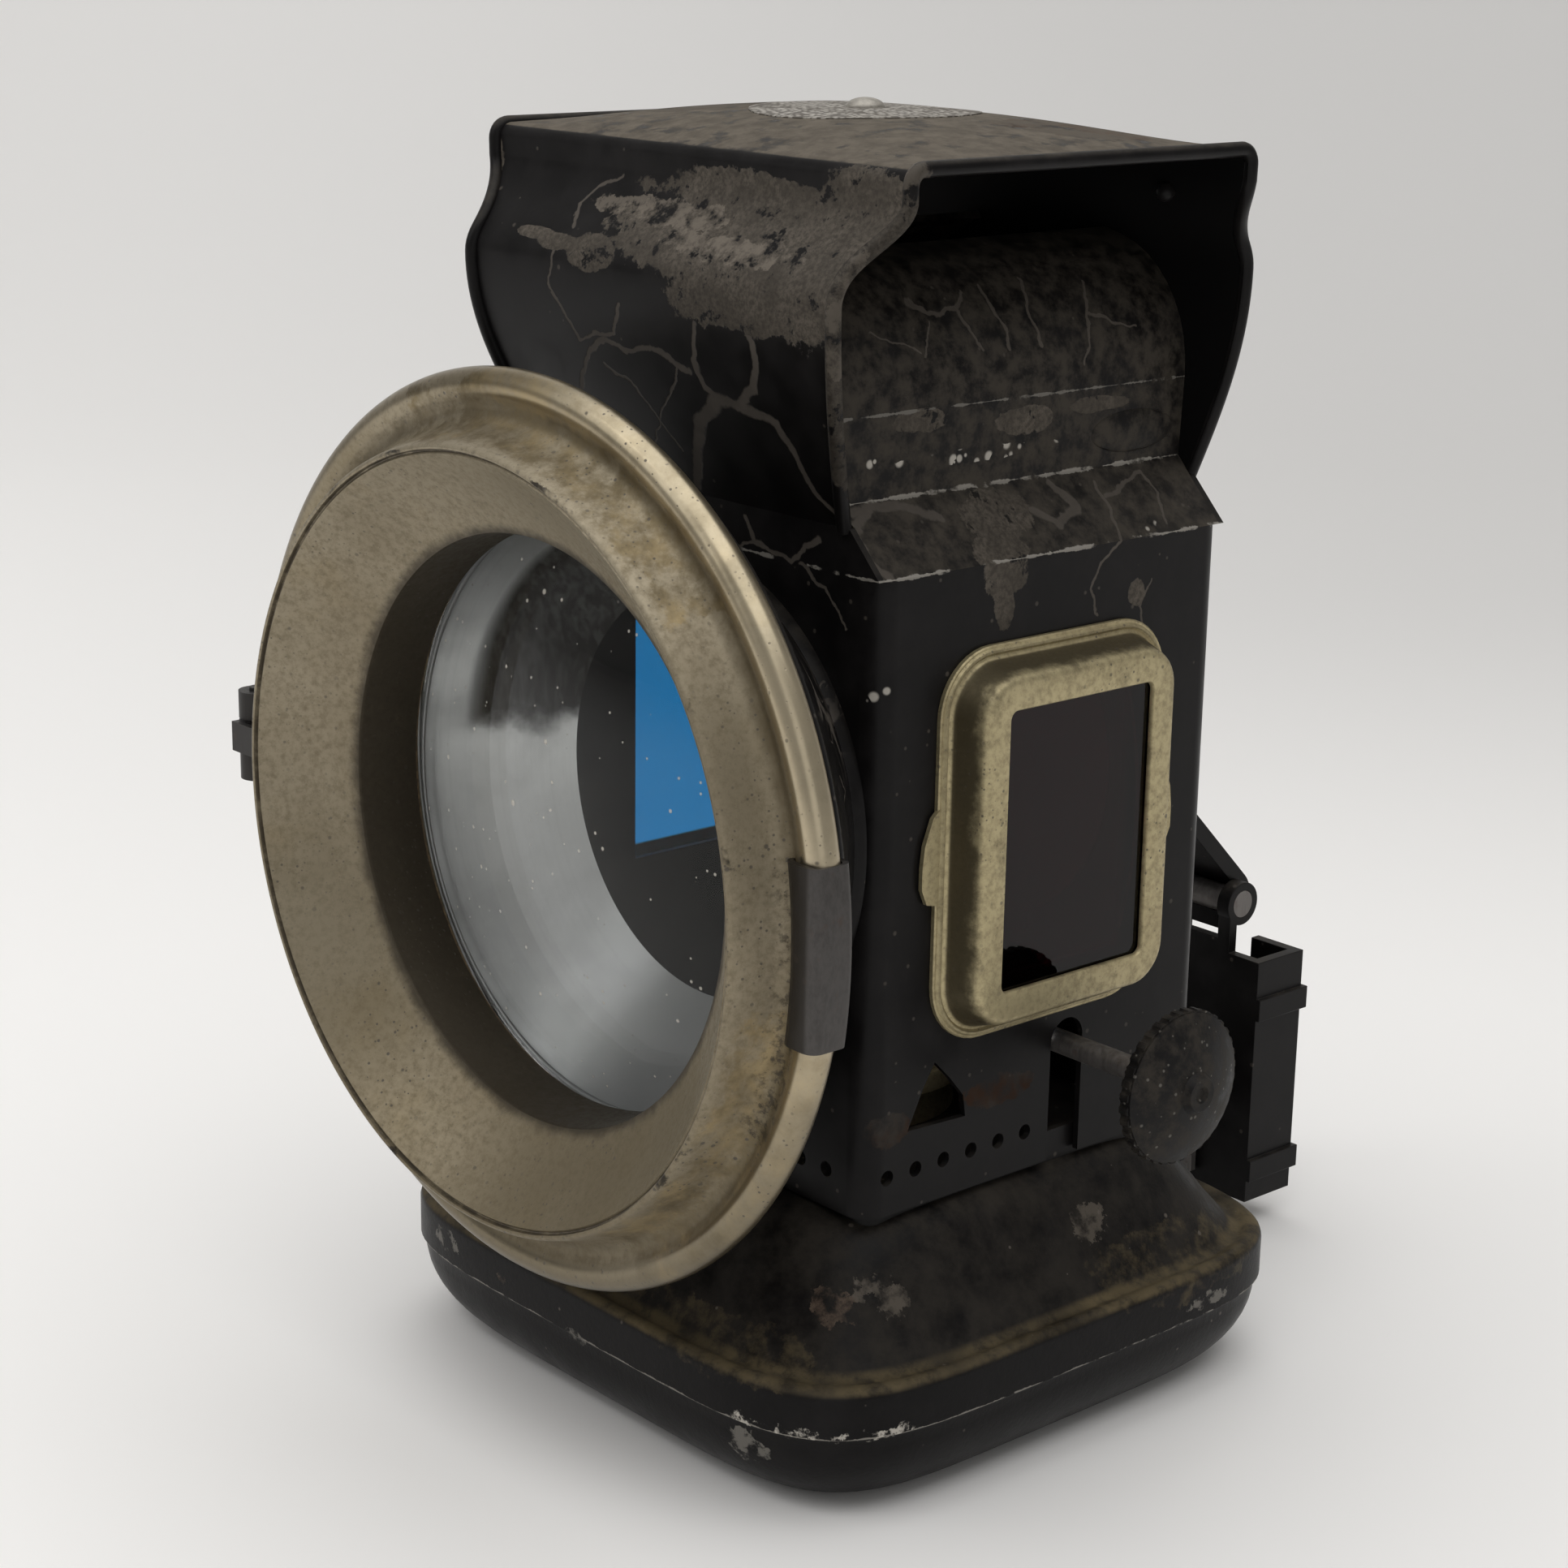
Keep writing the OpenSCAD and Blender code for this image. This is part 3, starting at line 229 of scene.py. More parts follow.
def dressed_copy(node, finish, degrees=35, soften=0.0):
    """Merged copy of a construction node with smooth faces and, where asked, softened edges."""
    bm = bmesh.new()
    bm.from_mesh(frame["nodes"][node].data)
    bmesh.ops.remove_doubles(bm, verts=bm.verts, dist=0.002 * MM)
    bmesh.ops.dissolve_limit(bm, angle_limit=math.radians(0.4), verts=bm.verts, edges=bm.edges)
    bmesh.ops.scale(bm, vec=(1 / MM, 1 / MM, 1 / MM), verts=bm.verts)
    piece = add_piece(node + "_dressed", bm, node, finish, degrees)
    if soften:
        bevel = piece.modifiers.new("soft_edges", "BEVEL")
        bevel.width = soften * MM
        bevel.segments = 2
        bevel.limit_method = "ANGLE"
        bevel.angle_limit = math.radians(50)
        bevel.harden_normals = False


def profile(bm, points):
    """Open line of vertices through points."""
    verts = [bm.verts.new(p) for p in points]
    for a, b in zip(verts, verts[1:]):
        bm.edges.new((a, b))
    return verts


def spun(points, centre, axis, steps, closed=False):
    """Skin turned about an axis from a line of points."""
    bm = bmesh.new()
    verts = profile(bm, points)
    if closed:
        bm.edges.new((verts[-1], verts[0]))
    bmesh.ops.spin(bm, geom=bm.verts[:] + bm.edges[:], cent=centre, axis=axis, angle=2 * math.pi, steps=steps,
                   use_merge=True)
    bmesh.ops.remove_doubles(bm, verts=bm.verts, dist=0.001)
    bmesh.ops.recalc_face_normals(bm, faces=bm.faces)
    return bm


def turned(points, steps, closed=True):
    """Ring turned about the lamp's front axis from [radius, y] points."""
    return spun([(r, y, FRONT_Z) for r, y in points], (0, 0, FRONT_Z), (0, 1, 0), steps, closed)


def grow(bm, edges):
    """Extrudes edges and gives the new vertices and the edges between them."""
    grown = bmesh.ops.extrude_edge_only(bm, edges=edges)["geom"]
    verts = [g for g in grown if isinstance(g, bmesh.types.BMVert)]
    kept = set(verts)
    joined = [g for g in grown if isinstance(g, bmesh.types.BMEdge)]
    return verts, [e for e in joined if e.verts[0] in kept and e.verts[1] in kept]


def drawn_out(points, way, steps=1):
    """Sheet drawn out in steps along a vector from a line of points."""
    bm = bmesh.new()
    profile(bm, points)
    edges = bm.edges[:]
    for _ in range(steps):
        verts, edges = grow(bm, edges)
        bmesh.ops.translate(bm, vec=Vector(way) / steps, verts=verts)
    return bm


def stacked(rings):
    """Skin through closed rings of points, all with the same number of points in the same order."""
    bm = bmesh.new()
    verts = profile(bm, rings[0])
    bm.edges.new((verts[-1], verts[0]))
    edges = bm.edges[:]
    order = {v: k for k, v in enumerate(verts)}
    for ring in rings[1:]:
        verts, edges = grow(bm, edges)
        fresh = {}
        for v in verts:
            below = next(e.other_vert(v) for e in v.link_edges if e.other_vert(v) in order)
            fresh[v] = order[below]
        for v, k in fresh.items():
            v.co = ring[k]
        order = fresh
    return bm


def face_towards(bm, way, above=None):
    """Turns all normals so that, taken together or only above a height, they point along a vector."""
    bmesh.ops.recalc_face_normals(bm, faces=bm.faces)
    counted = [f for f in bm.faces if above is None or f.calc_center_median().z > above]
    if sum(f.normal.dot(Vector(way)) for f in counted) < 0:
        bmesh.ops.reverse_faces(bm, faces=bm.faces)


def egg(centre, radii, segments):
    """Rounded head with three radii."""
    bm = bmesh.new()
    bmesh.ops.create_uvsphere(bm, u_segments=segments, v_segments=segments // 2, radius=1.0)
    bmesh.ops.scale(bm, vec=radii, verts=bm.verts)
    bmesh.ops.translate(bm, vec=centre, verts=bm.verts)
    return bm


def arc(centre, radius, start, end, steps):
    """Points of an arc between two angles in degrees."""
    angles = [math.radians(start + (end - start) * k / steps) for k in range(steps + 1)]
    return [(centre[0] + radius * math.cos(a), centre[1] + radius * math.sin(a)) for a in angles]


def swept(bm, path, radius, segments=12):
    """Round wire along a path, closed at both ends."""
    points = [Vector(p) for p in path]
    ring = None
    for index, point in enumerate(points):
        before = points[max(index - 1, 0)]
        after = points[min(index + 1, len(points) - 1)]
        ahead = (after - before).normalized()
        side = ahead.cross(Vector((1, 0, 0))).normalized()
        over = side.cross(ahead)
        place = Matrix((side, over, ahead)).transposed().to_4x4()
        place.translation = point
        circle = bmesh.ops.create_circle(bm, segments=segments, radius=radius, matrix=place,
                                         cap_ends=index in (0, len(points) - 1))
        edges = [e for e in bm.edges if e.verts[0] in circle["verts"] and e.verts[1] in circle["verts"]]
        if ring:
            bmesh.ops.bridge_loops(bm, edges=ring + edges)
        ring = edges
    bmesh.ops.recalc_face_normals(bm, faces=bm.faces)


# Shader nodes


class Graph:
    """Short ways to add and join shader nodes in one tree."""

    def __init__(self, tree):
        self.tree = tree

    def put(self, socket, value):
        """Links a socket to a socket, or sets its value."""
        if isinstance(value, bpy.types.NodeSocket):
            self.tree.links.new(value, socket)
        else:
            socket.default_value = value

    def add(self, kind, values=None, **settings):
        """Adds a node with its settings and inputs."""
        made = self.tree.nodes.new("ShaderNode" + kind)
        for key, value in settings.items():
            setattr(made, key, value)
        for key, value in (values or {}).items():
            self.put(made.inputs[key], value)
        return made

    def math(self, operation, a, b=0.5, clamp=False):
        """Result of a sum on numbers."""
        return self.add("Math", {0: a, 1: b}, operation=operation, use_clamp=clamp).outputs[0]

    def times(self, result, *others):
        """Product of numbers."""
        for other in others:
            result = self.math("MULTIPLY", result, other)
        return result

    def plus(self, a, b):
        """First number and the second."""
        return self.math("ADD", a, b)

    def minus(self, a, b):
        """First number less the second."""
        return self.math("SUBTRACT", a, b)

    def off(self, a, b):
        """Distance between two numbers."""
        return self.math("ABSOLUTE", self.minus(a, b))

    def most(self, result, *others):
        """Largest of some numbers."""
        for other in others:
            result = self.math("MAXIMUM", result, other)
        return result

    def vector(self, operation, a, b=(0, 0, 0)):
        """Vector made from vectors."""
        return self.add("VectorMath", {0: a, 1: b}, operation=operation).outputs["Vector"]

    def number(self, operation, a, b=(0, 0, 0)):
        """Number made from vectors."""
        return self.add("VectorMath", {0: a, 1: b}, operation=operation).outputs["Value"]

    def step(self, value, low, high, to_low=0.0, to_high=1.0):
        """Smooth step of a value between two limits."""
        return self.add("MapRange", {"Value": value, "From Min": low, "From Max": high, "To Min": to_low,
                                     "To Max": to_high}, interpolation_type="SMOOTHSTEP").outputs[0]

    def noise(self, vector, scale, detail=4.0, rough=0.55, output="Fac"):
        """Noise at a place."""
        return self.add("TexNoise", {"Vector": vector, "Scale": scale, "Detail": detail,
                                     "Roughness": rough}).outputs[output]

    def mix(self, share, a, b):
        """Colour between two colours."""
        return self.add("Mix", {0: share, 6: a, 7: b}, data_type="RGBA").outputs[2]

    def blend(self, share, a, b):
        """Number between two numbers."""
        return self.add("Mix", {0: share, 2: a, 3: b}, data_type="FLOAT").outputs[0]

    def split(self, vector):
        """Three numbers of a vector or colour."""
        return self.add("SeparateXYZ", {0: vector}).outputs


def new_group(name, **inputs):
    """Node group that makes a mask from a vector and other inputs: its graph, its outlet and its inputs."""
    tree = bpy.data.node_groups.new(name, "ShaderNodeTree")
    for label, default in {"vector": (0, 0, 0), **inputs}.items():
        kind = "NodeSocketVector" if isinstance(default, tuple) else "NodeSocketFloat"
        socket = tree.interface.new_socket(label.capitalize(), in_out="INPUT", socket_type=kind)
        socket.default_value = default
    tree.interface.new_socket("Mask", in_out="OUTPUT", socket_type="NodeSocketFloat")
    given = tree.nodes.new("NodeGroupInput").outputs[:len(inputs) + 1]
    return Graph(tree), tree.nodes.new("NodeGroupOutput").inputs[0], *given


def crackle_group():
    """Branching veins where old varnish has split."""
    graph, out, vector, scale, width, cover = new_group("crackle", scale=120.0, width=0.06, cover=0.5)
    wander = graph.noise(vector, graph.times(scale, 1.3), 3.0, 0.5, "Color")
    shift = graph.vector("SUBTRACT", wander, (0.5, 0.5, 0.5))
    reach = graph.math("DIVIDE", 0.75, scale)
    size = graph.add("CombineXYZ", {0: reach, 1: reach, 2: reach}).outputs[0]
    warped = graph.vector("ADD", vector, graph.vector("MULTIPLY", shift, size))
    veins = []
    for finer, thinner, less in ((1.0, 1.0, 0.0), (2.4, 0.8, 0.06)):
        cells = graph.add("TexVoronoi", {"Vector": warped, "Scale": graph.times(scale, finer)},
                          feature="DISTANCE_TO_EDGE").outputs["Distance"]
        swell = graph.step(graph.noise(vector, graph.times(scale, 0.8 * finer), 2.0), 0.3, 0.7, 0.15, 1.6)
        breadth = graph.times(width, thinner, swell)
        line = graph.minus(1.0, graph.step(cells, graph.times(breadth, 0.5), breadth))
        field = graph.noise(vector, graph.times(scale, 0.35 * finer), 2.0)
        edge = graph.plus(graph.minus(1.0, cover), less)
        shown = graph.step(field, graph.minus(edge, 0.05), graph.plus(edge, 0.03))
        veins.append(graph.times(line, shown))
    graph.put(out, graph.most(*veins))


def patch_group():
    """Ragged patch inside an ellipsoid, joined to the mask under it."""
    graph, out, vector, centre, radii, ragged, scale, under = new_group(
        "worn_patch", centre=(0, 0, 0), radii=(0.01, 0.01, 0.01), ragged=0.8, scale=300.0, under=0.0)
    far = graph.number("LENGTH", graph.vector("DIVIDE", graph.vector("SUBTRACT", vector, centre), radii))
    rough = graph.minus(graph.noise(vector, scale, 10.0, 0.68), 0.5)
    edge = graph.plus(far, graph.times(rough, ragged))
    graph.put(out, graph.most(under, graph.step(edge, 1.01, 0.95)))


def speck_group():
    """Sparse round specks of uneven size."""
    graph, out, vector, scale, radius, amount = new_group("specks", scale=600.0, radius=0.3, amount=0.3)
    cells = graph.add("TexVoronoi", {"Vector": vector, "Scale": scale})
    chance = graph.split(cells.outputs["Color"])
    size = graph.times(radius, graph.plus(0.25, chance[1]))
    dot = graph.minus(1.0, graph.step(cells.outputs["Distance"], graph.times(size, 0.5), size))
    graph.put(out, graph.times(dot, graph.math("LESS_THAN", chance[0], amount)))


def dust_group():
    """Dust that gathers on faces turned up."""
    graph, out, vector, up, least, amount, scale = new_group(
        "dust", up=0.0, least=0.3, amount=0.5, scale=260.0)
    speckled = graph.step(graph.noise(vector, scale, 8.0, 0.68), 0.3, 0.68)
    lying = graph.times(graph.step(up, least, 0.95), speckled)
    graph.put(out, graph.math("MULTIPLY", lying, amount, clamp=True))


def chip_group():
    """Broken band of chips about a level."""
    graph, out, vector, across, level, width, scale, amount = new_group(
        "chipped_band", across=0.0, level=0.0, width=0.0006, scale=420.0, amount=0.5)
    ragged = graph.times(width, graph.step(graph.noise(vector, scale, 6.0, 0.7), 0.35, 0.7, 0.2, 2.2))
    band = graph.minus(1.0, graph.step(graph.off(across, level), graph.times(ragged, 0.6), ragged))
    broken = graph.noise(vector, graph.times(scale, 0.45), 5.0, 0.65)
    edge = graph.minus(1.0, amount)
    shown = graph.step(broken, graph.minus(edge, 0.04), graph.plus(edge, 0.04))
    graph.put(out, graph.times(band, shown))


def stroke_group():
    """Line from one point to another, wider or narrower towards its end, joined to the mask under it."""
    graph, out, vector, start, finish, width, taper, under = new_group(
        "stroke", start=(0, 0, 0), finish=(0, 0, 0.01), width=0.0005, taper=1.0, under=0.0)
    # A share of the mask below, far too small to see, makes each line wait for the one before it:
    # worked out all at once, a long route does not fit in one shader.
    waited = graph.vector("ADD", vector, graph.times(under, 1e-9))
    away = graph.vector("SUBTRACT", waited, start)
    reach = graph.vector("SUBTRACT", finish, start)
    whole = graph.number("DOT_PRODUCT", reach, reach)
    share = graph.math("DIVIDE", graph.number("DOT_PRODUCT", away, reach), whole, clamp=True)
    nearest = graph.add("VectorMath", {0: reach, "Scale": share}, operation="SCALE").outputs[0]
    breadth = graph.times(width, graph.blend(share, 1.0, taper))
    far = graph.number("DISTANCE", away, nearest)
    line = graph.step(far, graph.times(breadth, 0.6), graph.times(breadth, 0.3))
    graph.put(out, graph.most(under, line))


class Skin(Graph):
    """Finish that is built up in coats on one Principled shader."""

    def __init__(self, name, colour, rough=0.5):
        self.material = bpy.data.materials.new(name)
        self.material.use_nodes = True
        super().__init__(self.material.node_tree)
        self.shader = self.tree.nodes["Principled BSDF"]
        given = self.add("TexCoord").outputs
        self.place = given["Object"]
        self.normal = given["Normal"]
        self.colour = colour
        self.rough = rough

    @cached_property
    def axes(self):
        """Place on the piece along X, Y and Z."""
        return self.split(self.place)

    @property
    def across(self):
        """Place along X."""
        return self.axes[0]

    @property
    def height(self):
        """Place along Z."""
        return self.axes[2]

    def cloud(self, scale, detail=4.0, rough=0.55):
        """Noise over the piece."""
        return self.noise(self.place, scale, detail, rough)

    def group(self, name, **values):
        """Mask of a shared node group."""
        made = self.add("Group", node_tree=bpy.data.node_groups[name])
        for key, value in {"vector": self.place, **values}.items():
            self.put(made.inputs[key.capitalize()], value)
        return made.outputs[0]

    def coat(self, mask, tint, rough=None, share=None):
        """Covers the colour by a share of a mask, and the roughness by the mask."""
        self.colour = self.mix(self.times(mask, share) if share else mask, self.colour, tint)
        if rough is not None:
            self.rough = self.blend(mask, self.rough, rough)

    def specks(self, scale, radius, amount):
        """Sparse round specks."""
        return self.group("specks", scale=scale, radius=radius, amount=amount)

    def chips(self, across, level, width, scale, amount):
        """Broken band about a level, in millimetres."""
        return self.group("chipped_band", across=across, level=level * MM, width=width * MM, scale=scale,
                          amount=amount)

    def patches(self, spots, ragged, scale):
        """Union of ragged patches given as centre and radii in millimetres."""
        mask = 0.0
        for centre, radii in spots:
            mask = self.group("worn_patch", centre=Vector(centre) * MM, radii=Vector(radii) * MM,
                              ragged=ragged, scale=scale, under=mask)
        return mask

    def drawn_lines(self, axis, routes):
        """Union of shaky lines, each a route of [across, height] points with first and last width."""
        shake = self.noise(self.place, 450.0, 5.0, 0.5, "Color")
        centred = self.vector("SUBTRACT", shake, (0.5, 0.5, 0.5))
        shift = self.vector("MULTIPLY", centred, (1.6 * MM, 1.6 * MM, 1.6 * MM))
        kept = (1, 0, 1) if axis == "x" else (0, 1, 1)
        flat = self.vector("MULTIPLY", self.vector("ADD", self.place, shift), kept)
        mask = 0.0
        for points, first, last in routes:
            spots = [Vector((a * kept[0], a * kept[1], z)) * MM for a, z in points]
            count = len(spots) - 1
            widths = [first + (last - first) * k / count for k in range(count + 1)]
            for k in range(count):
                mask = self.group("stroke", vector=flat, start=spots[k], finish=spots[k + 1],
                                  width=widths[k] * MM, taper=widths[k + 1] / widths[k], under=mask)
        if axis == "x":
            return self.times(mask, self.math("LESS_THAN", self.axes[1], 0.0))
        return self.times(mask, self.math("GREATER_THAN", self.across, 0.0))

    def front_radius(self):
        """Distance from the lamp's front axis."""
        flat = self.add("CombineXYZ", {0: self.across, 1: self.minus(self.height, FRONT_Z * MM)})
        return self.number("LENGTH", flat.outputs[0])

    def bump(self, height, strength, distance):
        """Relief of a height, its distance in millimetres."""
        made = self.add("Bump", {"Height": height, "Strength": strength, "Distance": distance * MM})
        self.put(self.shader.inputs["Normal"], made.outputs[0])

    def done(self, **others):
        """Joins colour, roughness and other values to the shader and gives the material."""
        self.put(self.shader.inputs["Base Color"], self.colour)
        self.put(self.shader.inputs["Roughness"], self.rough)
        for label, value in others.items():
            self.put(self.shader.inputs[label.replace("_", " ")], value)
        return self.material


# Marks of age, as routes of [across, height] in millimetres with a first and a last width

HOOD_VEINS = (
    ([(8.5, 127), (7.5, 123), (8.5, 120), (10, 119)], 0.7, 1.2),
    ([(10, 119), (6, 116), (3.5, 112), (1, 108)], 1.7, 1.3),
    ([(10, 119), (15, 118.5), (19, 117.5), (20.5, 114.5), (21.5, 110.5), (24, 108)], 1.5, 0.7),
    ([(6.5, 121.5), (0.5, 123.5), (-4, 122.5), (-7.5, 123.5), (-11.5, 121), (-14.5, 116.5)], 0.8, 0.6),
    ([(-4, 127.5), (-5.5, 124.5), (-12, 123), (-14, 125.5), (-16, 127.5)], 0.6, 0.3),
    ([(-8.5, 120.5), (-4.5, 119), (-2, 116), (1, 112)], 0.4, 0.25),
    ([(17, 127), (18, 124), (16.5, 121), (14, 119)], 1.0, 1.2),
    ([(4.5, 122), (3, 119.5), (-1, 115.5), (-4, 112)], 0.35, 0.25),
    ([(-14.5, 135), (-16, 137), (-14.5, 139), (-11, 140.5)], 0.5, 0.4),
    ([(-15.5, 132), (-16.5, 128.5), (-15, 126.5)], 0.4, 0.25),
)
CASE_VEINS = (
    ([(20.5, 105), (16, 102), (10, 103), (8.5, 105.5)], 0.8, 0.5),
    ([(17.5, 102), (21.5, 100), (25, 96)], 0.5, 0.3),
    ([(10, 103), (5, 101), (3, 97)], 0.5, 0.3),
)
CASE_SIDE_VEINS = (
    ([(13, 102), (10, 100), (8.5, 97), (9.5, 94)], 0.5, 0.3),
    ([(18, 90), (16.5, 94), (18.5, 97)], 0.4, 0.3),
)
ROOF_SCRATCHES = (
    ([(-10.5, 129), (-8, 127.5), (-4, 127.8), (-2, 129)], 0.7, 0.45),
    ([(-4, 127.5), (-3, 125.5), (-2, 123.5)], 0.45, 0.3),
    ([(1, 129.5), (1.5, 127), (2.3, 125.5), (2, 123)], 0.55, 0.4),
    ([(7.5, 129.5), (6.5, 126.5), (7, 123)], 0.55, 0.4),
    ([(17, 129), (15.5, 126), (14.5, 123), (13.5, 120.5)], 0.45, 0.3),
    ([(15.5, 126), (18, 125), (22.5, 124)], 0.4, 0.3),
    ([(-10.5, 123.5), (-8.5, 126.5)], 0.3, 0.2),
    ([(-17.5, 126), (-11, 124)], 0.3, 0.2),
)
SHOULDER_VEINS = (
    ([(-22, 108), (-19, 108.5), (-15, 108), (-10.5, 106.5)], 1.1, 0.9),
    ([(-19, 108.5), (-23, 106.5), (-23.5, 104), (-22, 102)], 0.9, 1.0),
    ([(14.5, 106), (18.5, 107), (22, 107.8), (22.7, 106), (21.3, 103)], 0.5, 0.4),
    ([(14, 107.4), (14, 105), (13, 102)], 0.5, 0.5),
    ([(2, 106), (5.5, 104.5), (9.5, 105.5), (7.5, 108)], 1.2, 0.9),
)

# Patches of wear, as centres and radii in millimetres

HOOD_WEAR = (
    ((11, -29, 135), (20, 14, 4.4)), ((21, -29, 131.5), (12, 14, 5.6)), ((12, -29, 129.5), (9, 14, 3)),
    ((-20, -29, 133.8), (3.6, 14, 0.6)), ((-15, -29, 133.2), (3.6, 14, 1.0)),
    ((-9.5, -29, 132.6), (5, 14, 2.0)), ((12, -27, 140), (17, 14, 2.6)),
    ((28, -26, 140), (7, 10, 4.5)), ((-34, -27, 138), (1.8, 4, 5)),
)
CASE_WEAR = (
    ((CASE_HALF, -5, 100.5), (3, 3.4, 3)), ((CASE_HALF, -5, 97), (3, 1.6, 3)),
    ((CASE_HALF, 16, 95.7), (2, 1.3, 1.6)),
)
SHOULDER_WEAR = (
    ((26, -3.5, 106), (7, 5.6, 3.0)), ((29, -5, 103), (4, 4.4, 2.2)), ((23, -11.5, 116.8), (3, 4, 1.3)),
    ((23, 4, 115.4), (3, 4.6, 1.6)), ((23, 16, 116), (3, 5, 0.9)),
)
SHOULDER_DOTS = (
    ((23, -4, 112.3), (3, 14, 0.8)), ((28, 16, 103), (3, 4, 1.6)), ((23, -18, 113), (3, 2, 1.5)),
)
TANK_GOLDEN = (((38, 18, 17), (8, 14, 4)), ((20, -36, 17), (16, 6, 3)))
TANK_RUST = (((31.5, -30, 23), (2.9, 2.9, 2.4)), ((-14, -39, 12.5), (1.6, 1.6, 1.3)))
TANK_GREY = (
    ((31, -24.5, 23), (2.2, 2.2, 2.0)), ((35, -23, 23), (2.3, 2.3, 2.0)), ((27, -21, 23.5), (1.5, 1.5, 1.5)),
    ((34, 7.5, 23), (2.4, 2.6, 2.2)),
)
TANK_KNOCKS = (
    ((28, -38.5, 7.6), (3.2, 4, 2.0)), ((0, -41, 10.5), (1.6, 3, 1.0)), ((-26, -41, 13.5), (2.6, 4, 1.6)),
    ((41, 20, 12.5), (3, 4, 1)),
)
TANK_CORNER = (((36, -34, 10.5), (11, 11, 5)),)
RING_BRASSY = (((14, -50, 112), (34, 14, 13)), ((36, -50, 42), (16, 14, 24)))
RING_SOILED = (((46, -49, 58), (7, 6, 22)),)


class Varnish(Skin):
    """Old black varnish with a cloudy gloss and a fine mottle that breaks up every mark on it."""

    def __init__(self, name, scale, detail, rough, pale):
        super().__init__(name, tone("japan"))
        self.clouds = self.cloud(scale, detail, rough)
        self.fine = self.cloud(1500.0, 5.0, 0.6)
        self.mottle = self.cloud(380.0, 9.0, 0.68)
        self.rough = self.step(self.clouds, 0.3, 0.75, 0.30, 0.46)
        self.coat(self.step(self.clouds, 0.35, 0.75), tone("japan", pale))

    def dust(self, least, amount, scale):
        """Dust on faces turned up."""
        return self.group("dust", up=self.split(self.normal)[2], least=least, amount=amount, scale=scale)

    def flaked(self, spots, ragged, scale, low, high, most=1.0):
        """Ragged patches broken up by the mottle."""
        return self.times(self.patches(spots, ragged, scale), self.step(self.mottle, low, high, 0.0, most))


def japan_finish(name, dust=0.35, least=0.3, pale=1.0, brown=0.0, veined=(), cover=0.5, lines=(), worn=(),
                 bare=1.0, scuffs=(), rusted=(), dotted=(), chips=(), hollow=None):
    """Varnish with dust, veins, worn patches, rust and chips, painted shade on faces looking into a hollow.
    """
    skin = Varnish(name, 160.0, 6.0, 0.6, 2.1)
    if brown:
        skin.coat(skin.times(skin.step(skin.mottle, 0.36, 0.64), brown), tone("dust", 0.7), 0.75)
    lying = skin.mix(skin.step(skin.mottle, 0.3, 0.7), tone("dust", 0.8 * pale), tone("dust", 1.25 * pale))
    skin.coat(skin.dust(least, dust, 260.0), lying, 0.85)
    relief = skin.times(skin.fine, 0.12)
    skin.coat(skin.specks(900.0, 0.28, 0.05), tone("crack"), share=0.6)
    veins = [skin.drawn_lines(axis, routes) for axis, routes in lines]
    if veined:
        net = skin.group("crackle", scale=110.0, width=0.05, cover=cover)
        veins.append(skin.times(net, skin.patches(veined, 0.9, 120.0)))
    if veins:
        split = skin.most(*veins)
        skin.coat(split, skin.mix(skin.mottle, tone("crack", 0.6), tone("crack", 1.3)), 0.6)
        relief = skin.minus(relief, skin.times(split, 0.35))
    if worn:
        patch = skin.flaked(worn, 1.9, 130.0, 0.38, 0.43)
        grain = skin.step(skin.cloud(1700.0, 6.0, 0.72), 0.34, 0.66)
        metal = skin.mix(grain, tone("iron", 0.45 * bare), tone("iron", bare))
        metal = skin.mix(skin.step(skin.clouds, 0.4, 0.62, 0.0, 0.6), metal, tone("iron", 0.4 * bare))
        skin.coat(patch, metal, 0.62)
        relief = skin.minus(relief, skin.times(patch, 0.5))
    if scuffs:
        skin.coat(skin.flaked(scuffs, 2.6, 240.0, 0.42, 0.56), tone("iron", 1.8 * bare), 0.5, 0.6)
    if rusted:
        tint = skin.mix(skin.step(skin.clouds, 0.4, 0.6), tone("rust", 0.6), tone("crack", 0.7))
        skin.coat(skin.flaked(rusted, 1.9, 240.0, 0.36, 0.62), tint, 0.8, 0.6)
    if dotted:
        dots = skin.times(skin.specks(750.0, 0.48, 0.55), skin.patches(dotted, 0.8, 300.0))
        skin.coat(dots, tone("chip", 0.85))
    for level, width, amount, tint in chips:
        skin.coat(skin.chips(skin.height, level, width, 380.0, amount), tone("chip", tint), 0.55)
    if hollow:
        # Painted shade: darker and matt on faces that look into the hollow.
        outward = skin.vector("SUBTRACT", skin.place, Vector(hollow) * MM)
        inner = skin.math("LESS_THAN", skin.number("DOT_PRODUCT", outward, skin.normal), 0.0)
        skin.coat(inner, tone("japan", 0.5), 1.0)
    skin.bump(relief, 0.5, 0.12)
    return skin.done(Specular_IOR_Level=0.12)


